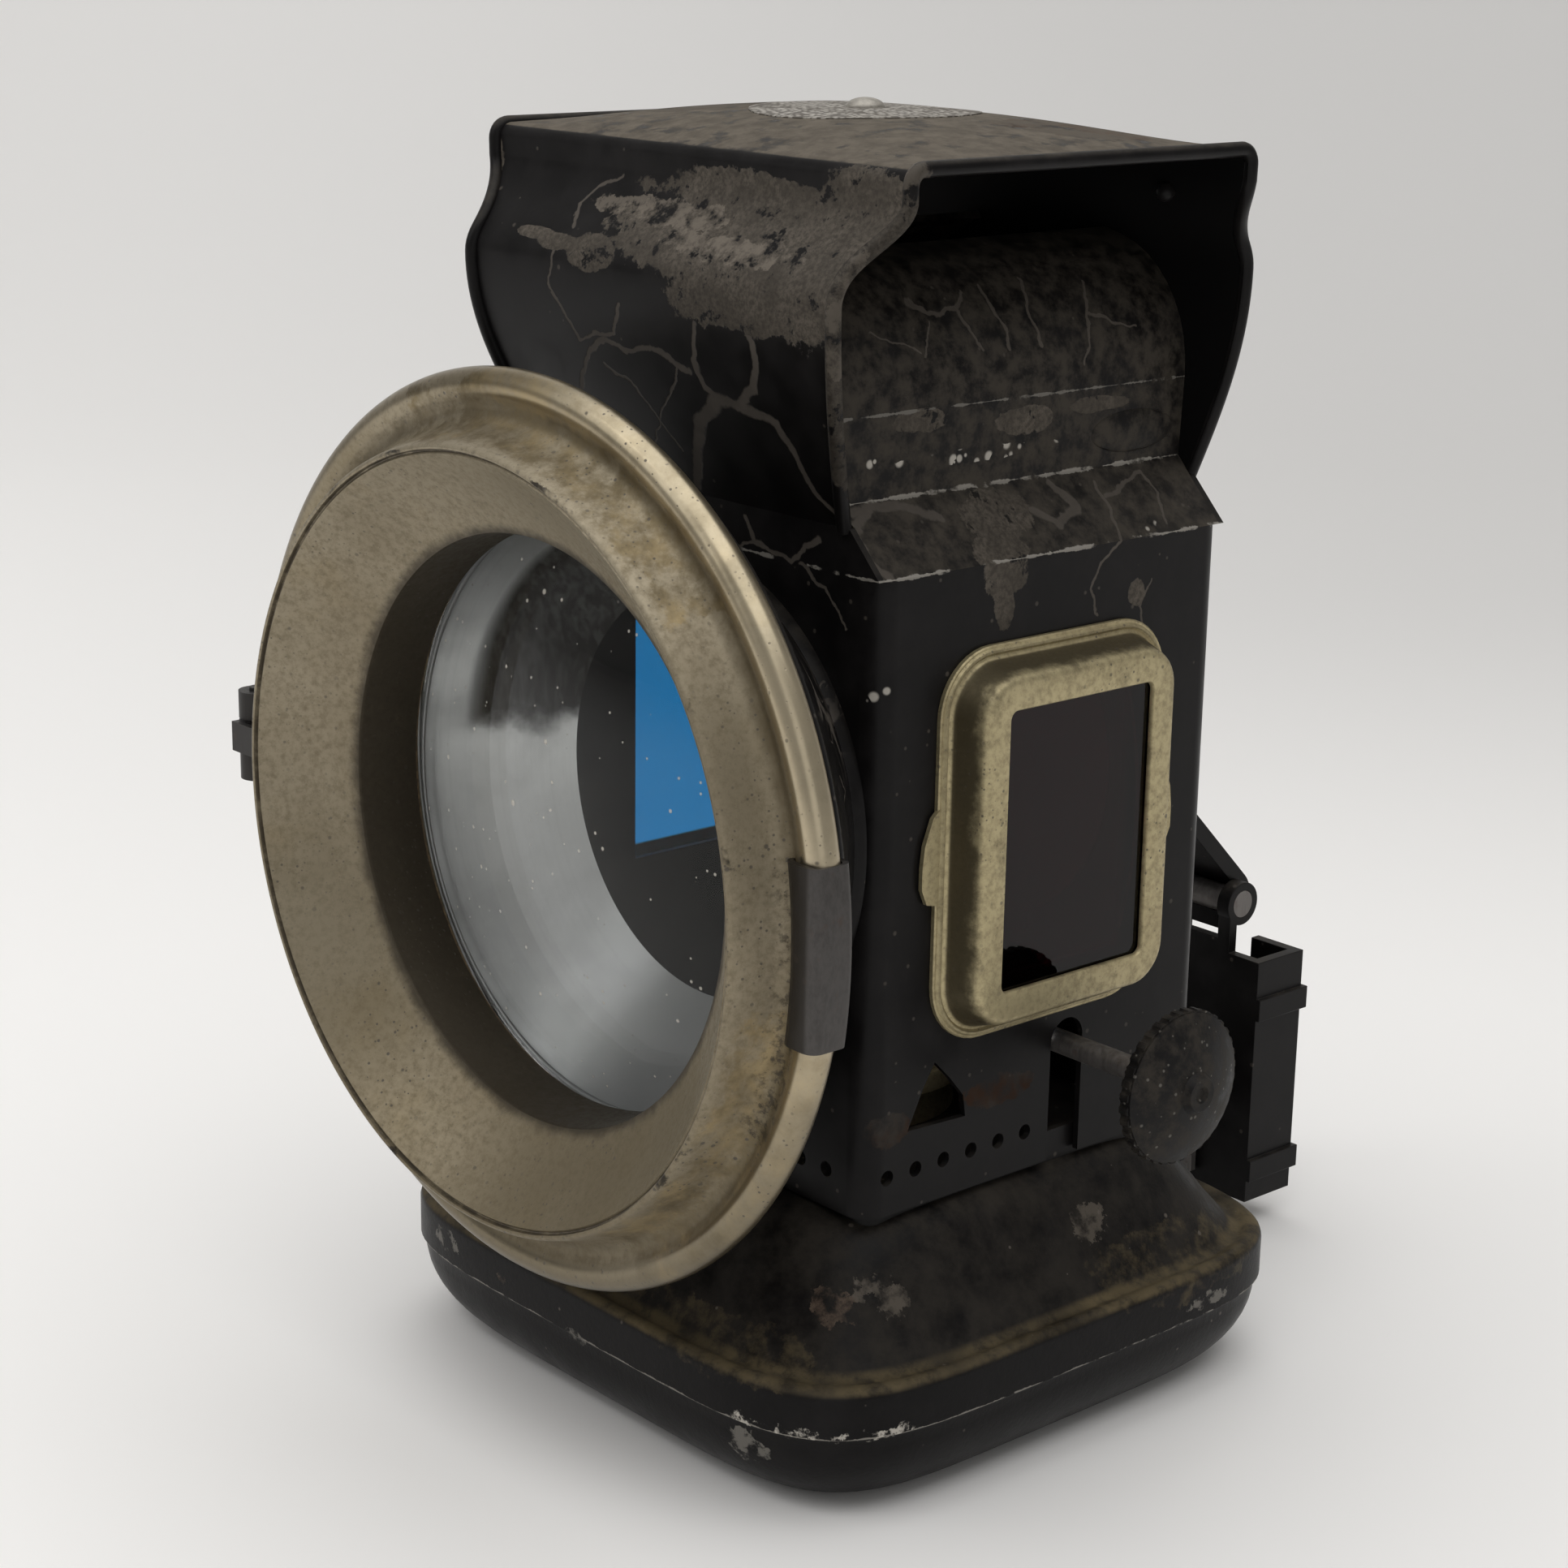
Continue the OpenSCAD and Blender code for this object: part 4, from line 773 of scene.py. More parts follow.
def tank_finish():
    """Tank varnish: seam chips, dust and a painted highlight along the lip, and rust spots on the pillow."""
    skin = Varnish("japan_tank", 130.0, 7.0, 0.62, 2.0)
    skin.coat(skin.dust(0.1, 0.7, 180.0), tone("dust", 0.6), 0.85)
    # Dust and a painted highlight in a broken line along the lip.
    line = skin.step(skin.off(skin.height, TANK_LIP_Z * MM), 0.75 * MM, 0.1 * MM)
    edge = skin.times(line, skin.step(skin.mottle, 0.3, 0.6, 0.15, 0.95),
                      skin.step(skin.cloud(60.0, 3.0), 0.36, 0.66, 0.25, 1.0))
    skin.coat(edge, skin.mix(skin.clouds, tone("tarnish", 0.3), tone("tarnish", 0.75)), 0.8)
    skin.coat(skin.flaked(TANK_GOLDEN, 1.6, 170.0, 0.42, 0.68, 0.55), tone("tarnish", 0.4))
    spotted = skin.mix(skin.mottle, tone("rust"), tone("iron", 1.3))
    skin.coat(skin.flaked(TANK_RUST, 2.2, 600.0, 0.38, 0.6), spotted, share=0.85)
    skin.coat(skin.flaked(TANK_GREY, 2.4, 600.0, 0.36, 0.58), tone("iron"), share=0.85)
    skin.coat(skin.chips(skin.height, TANK_SEAM_Z, 0.14, 300.0, 0.56), tone("chip", 0.45))
    seam = skin.chips(skin.height, TANK_SEAM_Z + 0.4, 0.55, 620.0, 0.56)
    skin.coat(skin.times(seam, skin.flaked(TANK_CORNER, 0.8, 150.0, 0.46, 0.54)), tone("chip"))
    skin.coat(skin.flaked(TANK_KNOCKS, 2.2, 420.0, 0.46, 0.56, 0.85), tone("chip", 0.35))
    skin.coat(skin.specks(700.0, 0.22, 0.07), tone("crack", 1.6), share=0.7)
    skin.bump(skin.plus(skin.fine, skin.times(skin.clouds, 2.0)), 0.35, 0.1)
    return skin.done(Specular_IOR_Level=0.11)


def ring_dirt_and_painted_light(skin, cloud):
    """Front ring's brassy drum, dirt streaks, nicked ridge, painted shade and highlight. Gives the bead's
    mask.
    """
    ridge = RIDGE_R * MM
    radius = skin.front_radius()
    mottle = skin.cloud(300.0, 8.0, 0.68)
    skin.coat(skin.step(skin.cloud(48.0, 5.0, 0.6), 0.36, 0.66), tone("tarnish", 0.5), share=0.35)
    # Painted shade: the whole ring darker towards its bottom.
    skin.coat(skin.step(skin.height, 66 * MM, 34 * MM), tone("tarnish", 0.55), share=0.4)
    ragged = skin.plus(radius, skin.times(skin.minus(mottle, 0.5), 2.0 * MM))
    drum = skin.step(ragged, ridge + 0.3 * MM, ridge + 1.0 * MM)
    warm = skin.times(drum, skin.patches(RING_BRASSY, 1.3, 60.0), skin.step(mottle, 0.36, 0.62, 0.1, 1.0))
    skin.coat(warm, skin.mix(skin.step(cloud, 0.4, 0.6), tone("tarnish", 0.5), tone("tarnish", 1.15)))
    off = skin.off(ragged, ridge + 3.3 * MM)
    # Painted shade in the cove between drum and bead, in a tarnish colour.
    valley_shade = skin.times(skin.step(off, 1.3 * MM, 0.4 * MM), skin.step(cloud, 0.35, 0.65, 0.3, 0.75))
    skin.coat(valley_shade, tone("tarnish", 0.35))
    fine = skin.step(skin.cloud(900.0, 6.0, 0.7), 0.47, 0.62)
    streaks = skin.times(skin.patches(RING_SOILED, 0.8, 90.0), fine, skin.step(off, 2.4 * MM, 0.5 * MM))
    skin.coat(streaks, tone("grime_and_shade"), share=0.85)
    bead = skin.step(radius, ridge + 4.3 * MM, ridge + 5.0 * MM)
    # Painted highlight: paler on the bead's right and upper side, where the light catches it.
    bead_highlight = skin.times(skin.step(skin.across, -6 * MM, 26 * MM), skin.step(cloud, 0.3, 0.6, 0.35, 0.62),
                          skin.step(skin.height, 30 * MM, 75 * MM, 0.2, 1.0))
    skin.coat(skin.times(bead, bead_highlight), tone("nickel", 2.1))
    # Painted shade on the underside of the bead.
    skin.coat(skin.times(bead, skin.step(skin.height, 70 * MM, 35 * MM, 0.0, 0.5)), tone("nickel", 0.5))
    crease = skin.step(skin.off(radius, ridge - 0.4 * MM), 0.22 * MM, 0.08 * MM)
    skin.coat(skin.times(crease, skin.step(mottle, 0.35, 0.55, 0.3, 0.9)), tone("grime_and_shade", 1.3))
    skin.coat(skin.chips(radius, RIDGE_R, 0.4, 240.0, 0.40), tone("grime_and_shade", 0.7))
    # Painted shade on the aperture's edge and inside the tube behind it.
    rim = skin.step(ragged, (HOLE_R + 1.5) * MM, (HOLE_R + 0.1) * MM)
    skin.coat(rim, tone("grime_and_shade", 0.9), share=0.85)
    return bead


def nickel_finish(name, base, pits, ring=False, foot=None):
    """Plated metal gone dull, with tarnish clouds, dark pits and, where asked, painted shade near its foot.
    """
    skin = Skin(name, base)
    cloud = skin.cloud(90.0, 7.0, 0.62)
    grain = skin.cloud(1100.0, 7.0, 0.72)
    skin.rough = skin.step(grain, 0.3, 0.7, 0.42, 0.58)
    skin.coat(skin.step(cloud, 0.5, 0.8, 0.0, 0.5), tone("tarnish"))
    skin.coat(skin.step(grain, 0.40, 0.72, 0.0, 0.45), tone("tarnish", 0.4))
    metal = 0.7
    if ring:
        bead = ring_dirt_and_painted_light(skin, cloud)
        skin.rough = skin.blend(bead, skin.rough, 0.3)
        metal = skin.blend(bead, metal, 0.92)
    if foot:
        out = skin.math("ABSOLUTE", skin.across)
        blotch = skin.cloud(260.0, 8.0, 0.68)
        rise = skin.plus(out, skin.times(skin.minus(blotch, 0.5), 5.0 * MM))
        # Painted shade on the flank just above the foot, where the frame meets the case wall.
        dirt = skin.times(skin.step(rise, (foot + 5.0) * MM, (foot + 3.2) * MM),
                          skin.step(out, (foot + 0.85) * MM, (foot + 1.2) * MM))
        skin.coat(dirt, tone("tarnish", 0.2), share=0.85)
    field = skin.step(skin.cloud(55.0, 3.0), 0.42, 0.62)
    pitted = skin.times(skin.most(skin.specks(700.0, 0.2, pits), skin.specks(1600.0, 0.28, pits)),
                        skin.blend(field, 0.3, 1.0))
    skin.coat(pitted, tone("grime_and_shade"), share=0.8)
    skin.bump(skin.minus(skin.times(grain, 0.5), pitted), 0.3, 0.06)
    return skin.done(Metallic=skin.blend(pitted, metal, 0.1))


def steel_finish(name, base="steel", level=1.0, streak=(1.0, 1.0, 0.08), shade_below=None):
    """Dull steel, fine streaks, rust specks and, where asked, painted shade below a place across the lamp."""
    skin = Skin(name, tone(base, 0.75 * level))
    lines = skin.noise(skin.vector("MULTIPLY", skin.place, streak), 1400.0, 6.0, 0.7)
    skin.rough = skin.step(lines, 0.3, 0.7, 0.38, 0.58)
    skin.coat(skin.step(lines, 0.3, 0.7), tone(base, 1.2 * level))
    rusty = skin.most(skin.specks(700.0, 0.35, 0.2), skin.step(skin.cloud(300.0, 6.0, 0.65), 0.58, 0.72))
    stain = skin.times(rusty, 0.45)
    skin.coat(stain, tone("rust", 0.6))
    if shade_below:
        # Painted shade over the clip's fold, below a place across the lamp.
        fold = skin.step(skin.across, shade_below * MM, (shade_below - 0.8) * MM, 0.0, 0.75)
        skin.coat(fold, tone("grime_and_shade", 0.4))
    skin.bump(lines, 0.2, 0.05)
    return skin.done(Metallic=skin.blend(stain, 0.7, 0.1))


def knob_finish():
    """Dusty dark metal of the wick knob."""
    skin = Skin("dusty_knob", tone("japan"))
    cloud = skin.cloud(420.0, 8.0, 0.7)
    skin.rough = skin.step(cloud, 0.3, 0.7, 0.42, 0.7)
    skin.coat(skin.step(cloud, 0.4, 0.68), tone("iron", 0.34))
    skin.coat(skin.specks(1500.0, 0.34, 0.22), tone("chip", 0.45), share=0.5)
    skin.bump(cloud, 0.4, 0.1)
    return skin.done(Metallic=skin.step(cloud, 0.4, 0.7, 0.05, 0.25), Specular_IOR_Level=0.18)


def silver_finish(name, left_reflection=False):
    """Silvered sheet gone grey, painted shade low and right, painted dark reflection high and, if asked,
    left.
    """
    skin = Skin(name, tone("silver"))
    radius = skin.front_radius()
    rings = skin.noise(skin.add("CombineXYZ", {0: skin.times(radius, 3.0)}).outputs[0], 900.0, 4.0, 0.7)
    cloud = skin.cloud(70.0, 6.0, 0.6)
    skin.rough = skin.step(cloud, 0.3, 0.7, 0.42, 0.52)
    skin.coat(skin.step(cloud, 0.35, 0.75), tone("silver", 0.8))
    skin.coat(skin.step(rings, 0.45, 0.75, 0.0, 0.2), tone("silver", 0.5))
    # Painted shade: darker towards the bottom.
    skin.coat(skin.step(skin.height, 62 * MM, 40 * MM, 0.0, 0.6), tone("silver", 0.35))
    # Painted shade on the right side, which is also made less metallic.
    dull = skin.step(skin.across, -22 * MM, 6 * MM, 0.0, 0.85)
    skin.coat(dull, tone("silver", 0.2))
    stretched = skin.vector("MULTIPLY", skin.place, (1.0, 1.0, 0.06))
    streaks = skin.step(skin.noise(stretched, 900.0, 5.0, 0.65), 0.35, 0.6, 0.93, 1.0)
    # Painted dark reflection at the top, broken into streaks.
    dark_reflection = skin.step(skin.height, 80 * MM, 112 * MM, 0.0, 0.7)
    if left_reflection:
        # Painted dark reflection in a patch on the left.
        ragged = skin.plus(skin.height, skin.step(cloud, 0.3, 0.7, -2.5 * MM, 2.5 * MM))
        stain = skin.times(skin.step(ragged, 74 * MM, 79 * MM), skin.step(radius, 32.6 * MM, 31.0 * MM),
                           skin.step(skin.across, -6 * MM, -12 * MM))
        dark_reflection = skin.most(dark_reflection, stain)
    dark_reflection = skin.times(dark_reflection, streaks)
    skin.coat(dark_reflection, tone("grime_and_shade", 0.2), 0.95)
    return skin.done(Metallic=skin.blend(skin.most(dark_reflection, dull), 0.85, 0.0))


def disc_finish():
    """Pale stippled metal disc."""
    skin = Skin("pale_disc", tone("chip", 0.85))
    dots = skin.add("TexVoronoi", {"Vector": skin.place, "Scale": 1500.0}).outputs["Distance"]
    cloud = skin.cloud(200.0, 6.0, 0.65)
    skin.rough = skin.step(cloud, 0.3, 0.7, 0.5, 0.8)
    skin.coat(skin.step(dots, 0.3, 0.6), tone("dust", 1.1))
    skin.coat(skin.step(cloud, 0.5, 0.7), tone("dust"))
    skin.bump(dots, 0.4, 0.12)
    return skin.done()


def glass_finish(name, colour, ior=1.3):
    """Glass that lets light through, with a little dirt in its gloss."""
    skin = Skin(name, tone(colour))
    smear = skin.cloud(160.0, 6.0, 0.65)
    skin.rough = skin.step(smear, 0.45, 0.8, 0.015, 0.05)
    skin.coat(skin.step(smear, 0.4, 0.8, 0.0, 0.12), tone(colour, 0.75))
    shadow = skin.add("LightPath").outputs["Is Shadow Ray"]
    return skin.done(Transmission_Weight=1.0, IOR=ior, Alpha=skin.minus(1.0, skin.times(shadow, 0.85)))


def glass_dust_finish():
    """Thin film of dust specks on the outside of the glass."""
    skin = Skin("glass_dust", tone("chip", 1.2), 0.9)
    specks = skin.most(skin.specks(800.0, 0.2, 0.3), skin.specks(330.0, 0.13, 0.3))
    haze = skin.step(skin.cloud(60.0, 5.0, 0.6), 0.35, 0.7, 0.004, 0.02)
    return skin.done(Alpha=skin.most(skin.times(specks, 0.75), haze))


def wick_finish():
    """Plaited cotton, charred at its trimmed end."""
    skin = Skin("wick_cotton", tone("cotton", 0.45))
    turns = math.pi / (size_mm("thread") * MM)
    ways = [skin.math("SINE", skin.times(lean, turns))
            for lean in (skin.plus(skin.height, skin.across), skin.minus(skin.height, skin.across))]
    plait = skin.times(*(skin.math("ABSOLUTE", way) for way in ways))
    fluff = skin.cloud(2600.0, 5.0, 0.7)
    skin.rough = skin.step(fluff, 0.2, 0.8, 0.82, 1.0)
    skin.coat(skin.step(plait, 0.05, 0.6), tone("cotton"))
    ragged = skin.plus(skin.height, skin.times(fluff, 3 * MM))
    skin.coat(skin.step(ragged, (WICK_HIGH.z - 4) * MM, WICK_HIGH.z * MM), tone("japan", 2.0))
    skin.bump(skin.plus(plait, skin.times(fluff, 0.3)), 0.8, 0.35)
    return skin.done()


def cork_finish():
    """Grainy brown packing."""
    skin = Skin("cork_packing", tone("cork", 0.5))
    grains = skin.add("TexVoronoi", {"Vector": skin.place, "Scale": 1500.0}).outputs
    grain = skin.split(grains["Color"])[0]
    skin.rough = skin.step(grain, 0.0, 1.0, 0.8, 0.95)
    skin.coat(grain, tone("cork", 1.3))
    skin.bump(grains["Distance"], 0.5, 0.1)
    return skin.done()


# Finishes by name, each with the name of its slot

FINISHES = {}


class LAMP_OT_finishes(bpy.types.Operator):
    """Builds the shared node groups and every finish of the lamp"""

    bl_idname = "lamp.finishes"
    bl_label = "Finishes"

    def execute(self, context):
        for build in (crackle_group, patch_group, speck_group, dust_group, chip_group, stroke_group):
            build()
        silver = silver_finish("silvered_sheet")
        metals = {
            "bezel": ("aged_nickel", nickel_finish("aged_nickel", tone("nickel"), 0.55, ring=True)),
            "frame": ("window_brass", nickel_finish("window_brass", tone("brass"), 0.8, foot=CASE_HALF)),
            "burner": ("burner_brass", nickel_finish("burner_brass", tone("brass", 0.85), 0.25)),
            "knob": ("dusty_knob", knob_finish()),
            "silver": ("silvered_sheet", silver),
            "lining": ("silvered_sheet", silver_finish("silvered_lining", left_reflection=True)),
            "wire": ("dull_steel", silver),
            "disc": ("pale_disc", disc_finish()),
        }
        glasses = {
            "glass": ("clear_glass", glass_finish("clear_glass", "clear", 1.2)),
            "glass_dust": ("clear_glass", glass_dust_finish()),
            "ruby": ("ruby_glass", glass_finish("ruby_glass", "ruby")),
            "blue": ("blue_glass", glass_finish("blue_glass", "blue")),
        }
        fibres = {"wick": ("wick_cotton", wick_finish()), "cork": ("cork_packing", cork_finish())}
        steels = {
            "steel": steel_finish("dull_steel"),
            "hinge": steel_finish("hinge_steel", "steel", 0.22),
            "clip": steel_finish("clip_steel", "steel", 0.42, (1.0, 1.0, 0.5), BEZEL_HIGH.x - 1.2),
            "rivet": steel_finish("rivet_steel", "chip", 0.8, (1.0, 1.0, 1.0)),
        }
        for group in (metals, glasses, fibres):
            FINISHES.update(group)
        for name, material in steels.items():
            FINISHES[name] = ("dull_steel", material)
        for name, material in self.japanned().items():
            FINISHES[name] = ("black_japan", material)
        return {"FINISHED"}

    def japanned(self):
        """Every black varnished finish."""
        return {
            "tank": tank_finish(),
            "hood": japan_finish(
                "japan_hood", dust=2.6, least=0.8, pale=1.35, lines=[("x", HOOD_VEINS)], cover=0.4,
                veined=[((0, 30, 118), (24, 12, 10))], hollow=(0, HOOD_MID_Y, HOOD_LOW.z + 20),
                worn=HOOD_WEAR,
                scuffs=[((-2, -29, 137.5), (11, 12, 1.5)), ((13, -30, 134.8), (11, 12, 1.3))],
                rusted=[((-20, 0, 147), (9, 16, 4)), ((22, 12, 147), (8, 9, 4))]),
            "hem": japan_finish(
                "japan_hem", dust=0.5, bare=0.6, worn=[((33, -29, 124), (8, 8, 20))],
                scuffs=[((34.5, -24.5, 144), (1.5, 2, 1.5)), ((33, -30, 130), (4, 3, 8))]),
            "case": japan_finish(
                "japan_case", dust=0.3, lines=[("x", CASE_VEINS), ("y", CASE_SIDE_VEINS)], worn=CASE_WEAR,
                rusted=[((CASE_HALF, -20.3, 40.4), (4, 3, 2.0)), ((CASE_HALF, -3.2, 41), (4, 5.5, 2.0))],
                dotted=[((CASE_HALF, -22, 88), (3, 2, 4))], chips=[(SHOULDER_Z, 0.16, 0.5, 0.5)]),
            "shoulder": japan_finish(
                "japan_shoulder", brown=0.75, lines=[("y", SHOULDER_VEINS)], worn=SHOULDER_WEAR,
                dotted=SHOULDER_DOTS, chips=[(SHOULDER_Z, 0.18, 0.52, 0.6), (NECK_Z, 0.2, 0.5, 0.5),
                                             (NECK_TOP_Z - 0.2, 0.16, 0.55, 0.3)]),
            "chimney": japan_finish("japan_chimney", dust=0.15, brown=0.75, lines=[("y", ROOF_SCRATCHES)]),
            "plain": japan_finish("japan_plain", dust=0.3),
            "flare": japan_finish(
                "japan_flare", dust=0.3, cover=0.42, veined=[((34, -38, 92), (16, 20, 24))]),
        }


# Pieces


def plan_point(angle, inset):
    """Point of the tank's plan at an angle, drawn in by an inset."""
    square = bpy.context.scene.lamp_sizes.tank_power
    c = abs(math.cos(angle)) / (COVER_HIGH.x - inset)
    s = abs(math.sin(angle)) / (COVER_HIGH.y - inset)
    r = (c ** square + s ** square) ** (-1 / square)
    return r * math.cos(angle), r * math.sin(angle)


def tank_skin(rings, hole=None):
    """Skin through rings of inset and height, ended where asked by a hole of radius, height and Y."""
    around = 240
    angles = [2 * math.pi * k / around for k in range(around)]
    loops = [[(*plan_point(a, inset), z) for a in angles] for inset, z in rings]
    if hole:
        r, z, y = hole
        loops.append([(r * math.cos(a), y + r * math.sin(a), z) for a in angles])
    return stacked(loops)


class LAMP_OT_tank(bpy.types.Operator):
    """Oil tank: drawn pan, cover with its lip and pillow, and the rim that locates the case"""

    bl_idname = "lamp.tank"
    bl_label = "Tank"

    def execute(self, context):
        seam = TANK_SEAM_Z
        sheet = size_mm("sheet")
        pan_inset = 0.5
        pan_depth = seam - 0.6
        foot_r = 9.0
        filler_r = 10.5
        filler_y = (COLLAR_LOW.y + COLLAR_HIGH.y) / 2
        angles = [math.radians(90 - 7.5 * k) for k in range(13)]
        bowl = [(pan_inset + foot_r * (1 - math.cos(a)), pan_depth * (1 - math.sin(a))) for a in angles]
        bm = tank_skin(bowl + [(0.35, seam - 0.25), (pan_inset, seam)])
        lowest = [e for e in bm.edges if e.is_boundary and max(v.co.z for v in e.verts) < 0.1]
        bmesh.ops.edgeloop_fill(bm, edges=lowest)
        bmesh.ops.recalc_face_normals(bm, faces=bm.faces)
        add_piece("tank_pan_skin", bm, "tank_pan", "tank", 40, sheet=sheet)
        lip = [(0, -1.0), (0.15, -0.4), (0.5, 0), (1.0, 0.2), (1.5, 0.15), (1.9, -0.1), (2.3, -0.2), (2.8, 0),
               (3.4, 0.5), (4.2, 1.6), (5.4, 3.2), (6.8, 5.4), (8.2, 7.5), (9.5, 9.3)]
        crest = [(10.8, -2.4), (12.1, -1.3), (13.4, -0.6), (14.9, -0.15), (16.5, 0)]
        slope = [(0, seam), (0, seam + 0.2)] + [(inset, TANK_LIP_Z + rise) for inset, rise in lip]
        slope += [(inset, COVER_HIGH.z + rise) for inset, rise in crest]
        bm = tank_skin(slope, (filler_r, COVER_HIGH.z, filler_y))
        bmesh.ops.recalc_face_normals(bm, faces=bm.faces)
        add_piece("tank_cover_skin", bm, "tank_cover", "tank", 40, sheet=sheet)
        dressed_copy("locating_rim", "plain")
        return {"FINISHED"}


class LAMP_OT_burner(bpy.types.Operator):
    """Burner inside the case, with the spindle, spur wheels and knob"""

    bl_idname = "lamp.burner"
    bl_label = "Burner"

    def execute(self, context):
        for node in ("burner_collar", "burner_cap", "wick_tube", "wheel_housing", "spur_wheels"):
            dressed_copy(node, "burner", soften=0.08)
        dressed_copy("wick_spindle", "steel")
        dressed_copy("wick_knob", "knob", 40)
        dressed_copy("knob_rivet", "knob", 40)
        return {"FINISHED"}


class LAMP_OT_wick(bpy.types.Operator):
    """Plaited flat wick"""

    bl_idname = "lamp.wick"
    bl_label = "Wick"

    def execute(self, context):
        thread = size_mm("thread")
        half = (WICK_HIGH - WICK_LOW) / 2
        middle = (WICK_HIGH + WICK_LOW) / 2
        bm = bmesh.new()
        bmesh.ops.create_cube(bm, size=2.0)
        bmesh.ops.scale(bm, vec=half, verts=bm.verts)
        bmesh.ops.translate(bm, vec=middle, verts=bm.verts)
        bmesh.ops.bevel(bm, geom=self.upright(bm), offset=half.y * 0.7, affect="EDGES", segments=5,
                        profile=0.5, material=-1)
        cuts = int(4 * half.z / thread)
        bmesh.ops.subdivide_edges(bm, edges=self.upright(bm), cuts=cuts, use_grid_fill=True)
        for v in bm.verts:
            leans = (v.co.z + v.co.x, v.co.z - v.co.x)
            plait = abs(math.prod(math.sin(math.pi * lean / thread) for lean in leans))
            v.co.y = middle.y + (v.co.y - middle.y) * (0.9 + 0.1 * plait)
        add_piece("wick_plait", bm, "wick", "wick", 60)
        return {"FINISHED"}

    def upright(self, bm):
        """Edges that stand upright."""
        return [e for e in bm.edges if abs(e.verts[0].co.z - e.verts[1].co.z) > 1]


class LAMP_OT_case(bpy.types.Operator):
    """Case walls, shoulders and roof sheets"""

    bl_idname = "lamp.case"
    bl_label = "Case"

    def execute(self, context):
        dressed_copy("case_shell", "case", 30, 0.12)
        for side in ("right", "left"):
            dressed_copy("shoulder_" + side, "shoulder", 30)
            dressed_copy("chimney_" + side, "chimney", 40)
        oval = egg((NECK_HALF, 21.4, (NECK_Z + NECK_TOP_Z) / 2 - 1.0), (0.45, 6.7, 2.4), 48)
        add_piece("neck_oval", oval, "shoulder_right", "shoulder", 60, replaces=False)
        return {"FINISHED"}


def hood_reach(z):
    """Half width of the hood at a height."""
    top_half = HOOD_HIGH.x
    swell_half = top_half - 4
    fallen = (HOOD_LOW.z - SHOULDER_Z) / (NECK_Z - SHOULDER_Z)
    seam_half = CASE_HALF - fallen * (CASE_HALF - NECK_HALF)
    if z >= HOOD_SWELL_Z:
        drop = (HOOD_COVE_Z + 0.6 - z) / (HOOD_COVE_Z - HOOD_SWELL_Z - 2)
        return top_half - (top_half - swell_half) * ease(drop)
    share = (z - HOOD_LOW.z) / (HOOD_SWELL_Z - HOOD_LOW.z)
    return seam_half + (swell_half - seam_half) * math.sin(math.pi / 2 * share)


def crown_rise(x, y):
    """Rise of the hood's pillow-shaped top above its edges."""
    fullness = 2.6
    half_width = HOOD_HIGH.x - 0.5
    half_depth = (HOOD_REAR_Y - HOOD_FRONT_Y) / 2 - 1.4
    across = min(1.0, abs(x) / half_width)
    along = min(1.0, abs(y - HOOD_MID_Y) / half_depth)
    return size_mm("crown") * (1 - across ** fullness) * (1 - along ** fullness)


def hood_side(top_y, wall_y, swell_y, turn):
    """Front or rear outline of the hood from its seam up to its top edge, as Y and Z."""
    edge_r = 1.6
    swell_steps = 24
    cove_steps = 20
    edge_steps = 8
    points = []
    for k in range(swell_steps + 1):
        share = math.sin(math.pi / 2 * k / swell_steps)
        z = HOOD_LOW.z + (HOOD_SWELL_Z - HOOD_LOW.z) * k / swell_steps
        points.append((wall_y + (swell_y - wall_y) * share, z))
    for k in range(1, cove_steps + 1):
        z = HOOD_SWELL_Z + (HOOD_COVE_Z - HOOD_SWELL_Z) * k / cove_steps
        points.append((top_y + (swell_y - top_y) * ease(1 - k / cove_steps), z))
    for k in range(edge_steps + 1):
        a = math.pi / 2 * k / edge_steps
        points.append((top_y + turn * edge_r * (1 - math.cos(a)), HOOD_EDGE_Z - edge_r * (1 - math.sin(a))))
    return points


def hood_line():
    """Outline of the hood from its front seam over the top to its rear seam, as Y and Z."""
    front = hood_side(HOOD_FRONT_Y, CASE_LOW.y, HOOD_LOW.y, 1)
    rear = hood_side(HOOD_REAR_Y, CASE_HIGH.y, HOOD_HIGH.y, -1)
    steps = 32
    start = front[-1][0]
    end = rear[-1][0]
    top = [(start + (end - start) * k / steps, HOOD_EDGE_Z) for k in range(1, steps)]
    return front + top + rear[::-1]


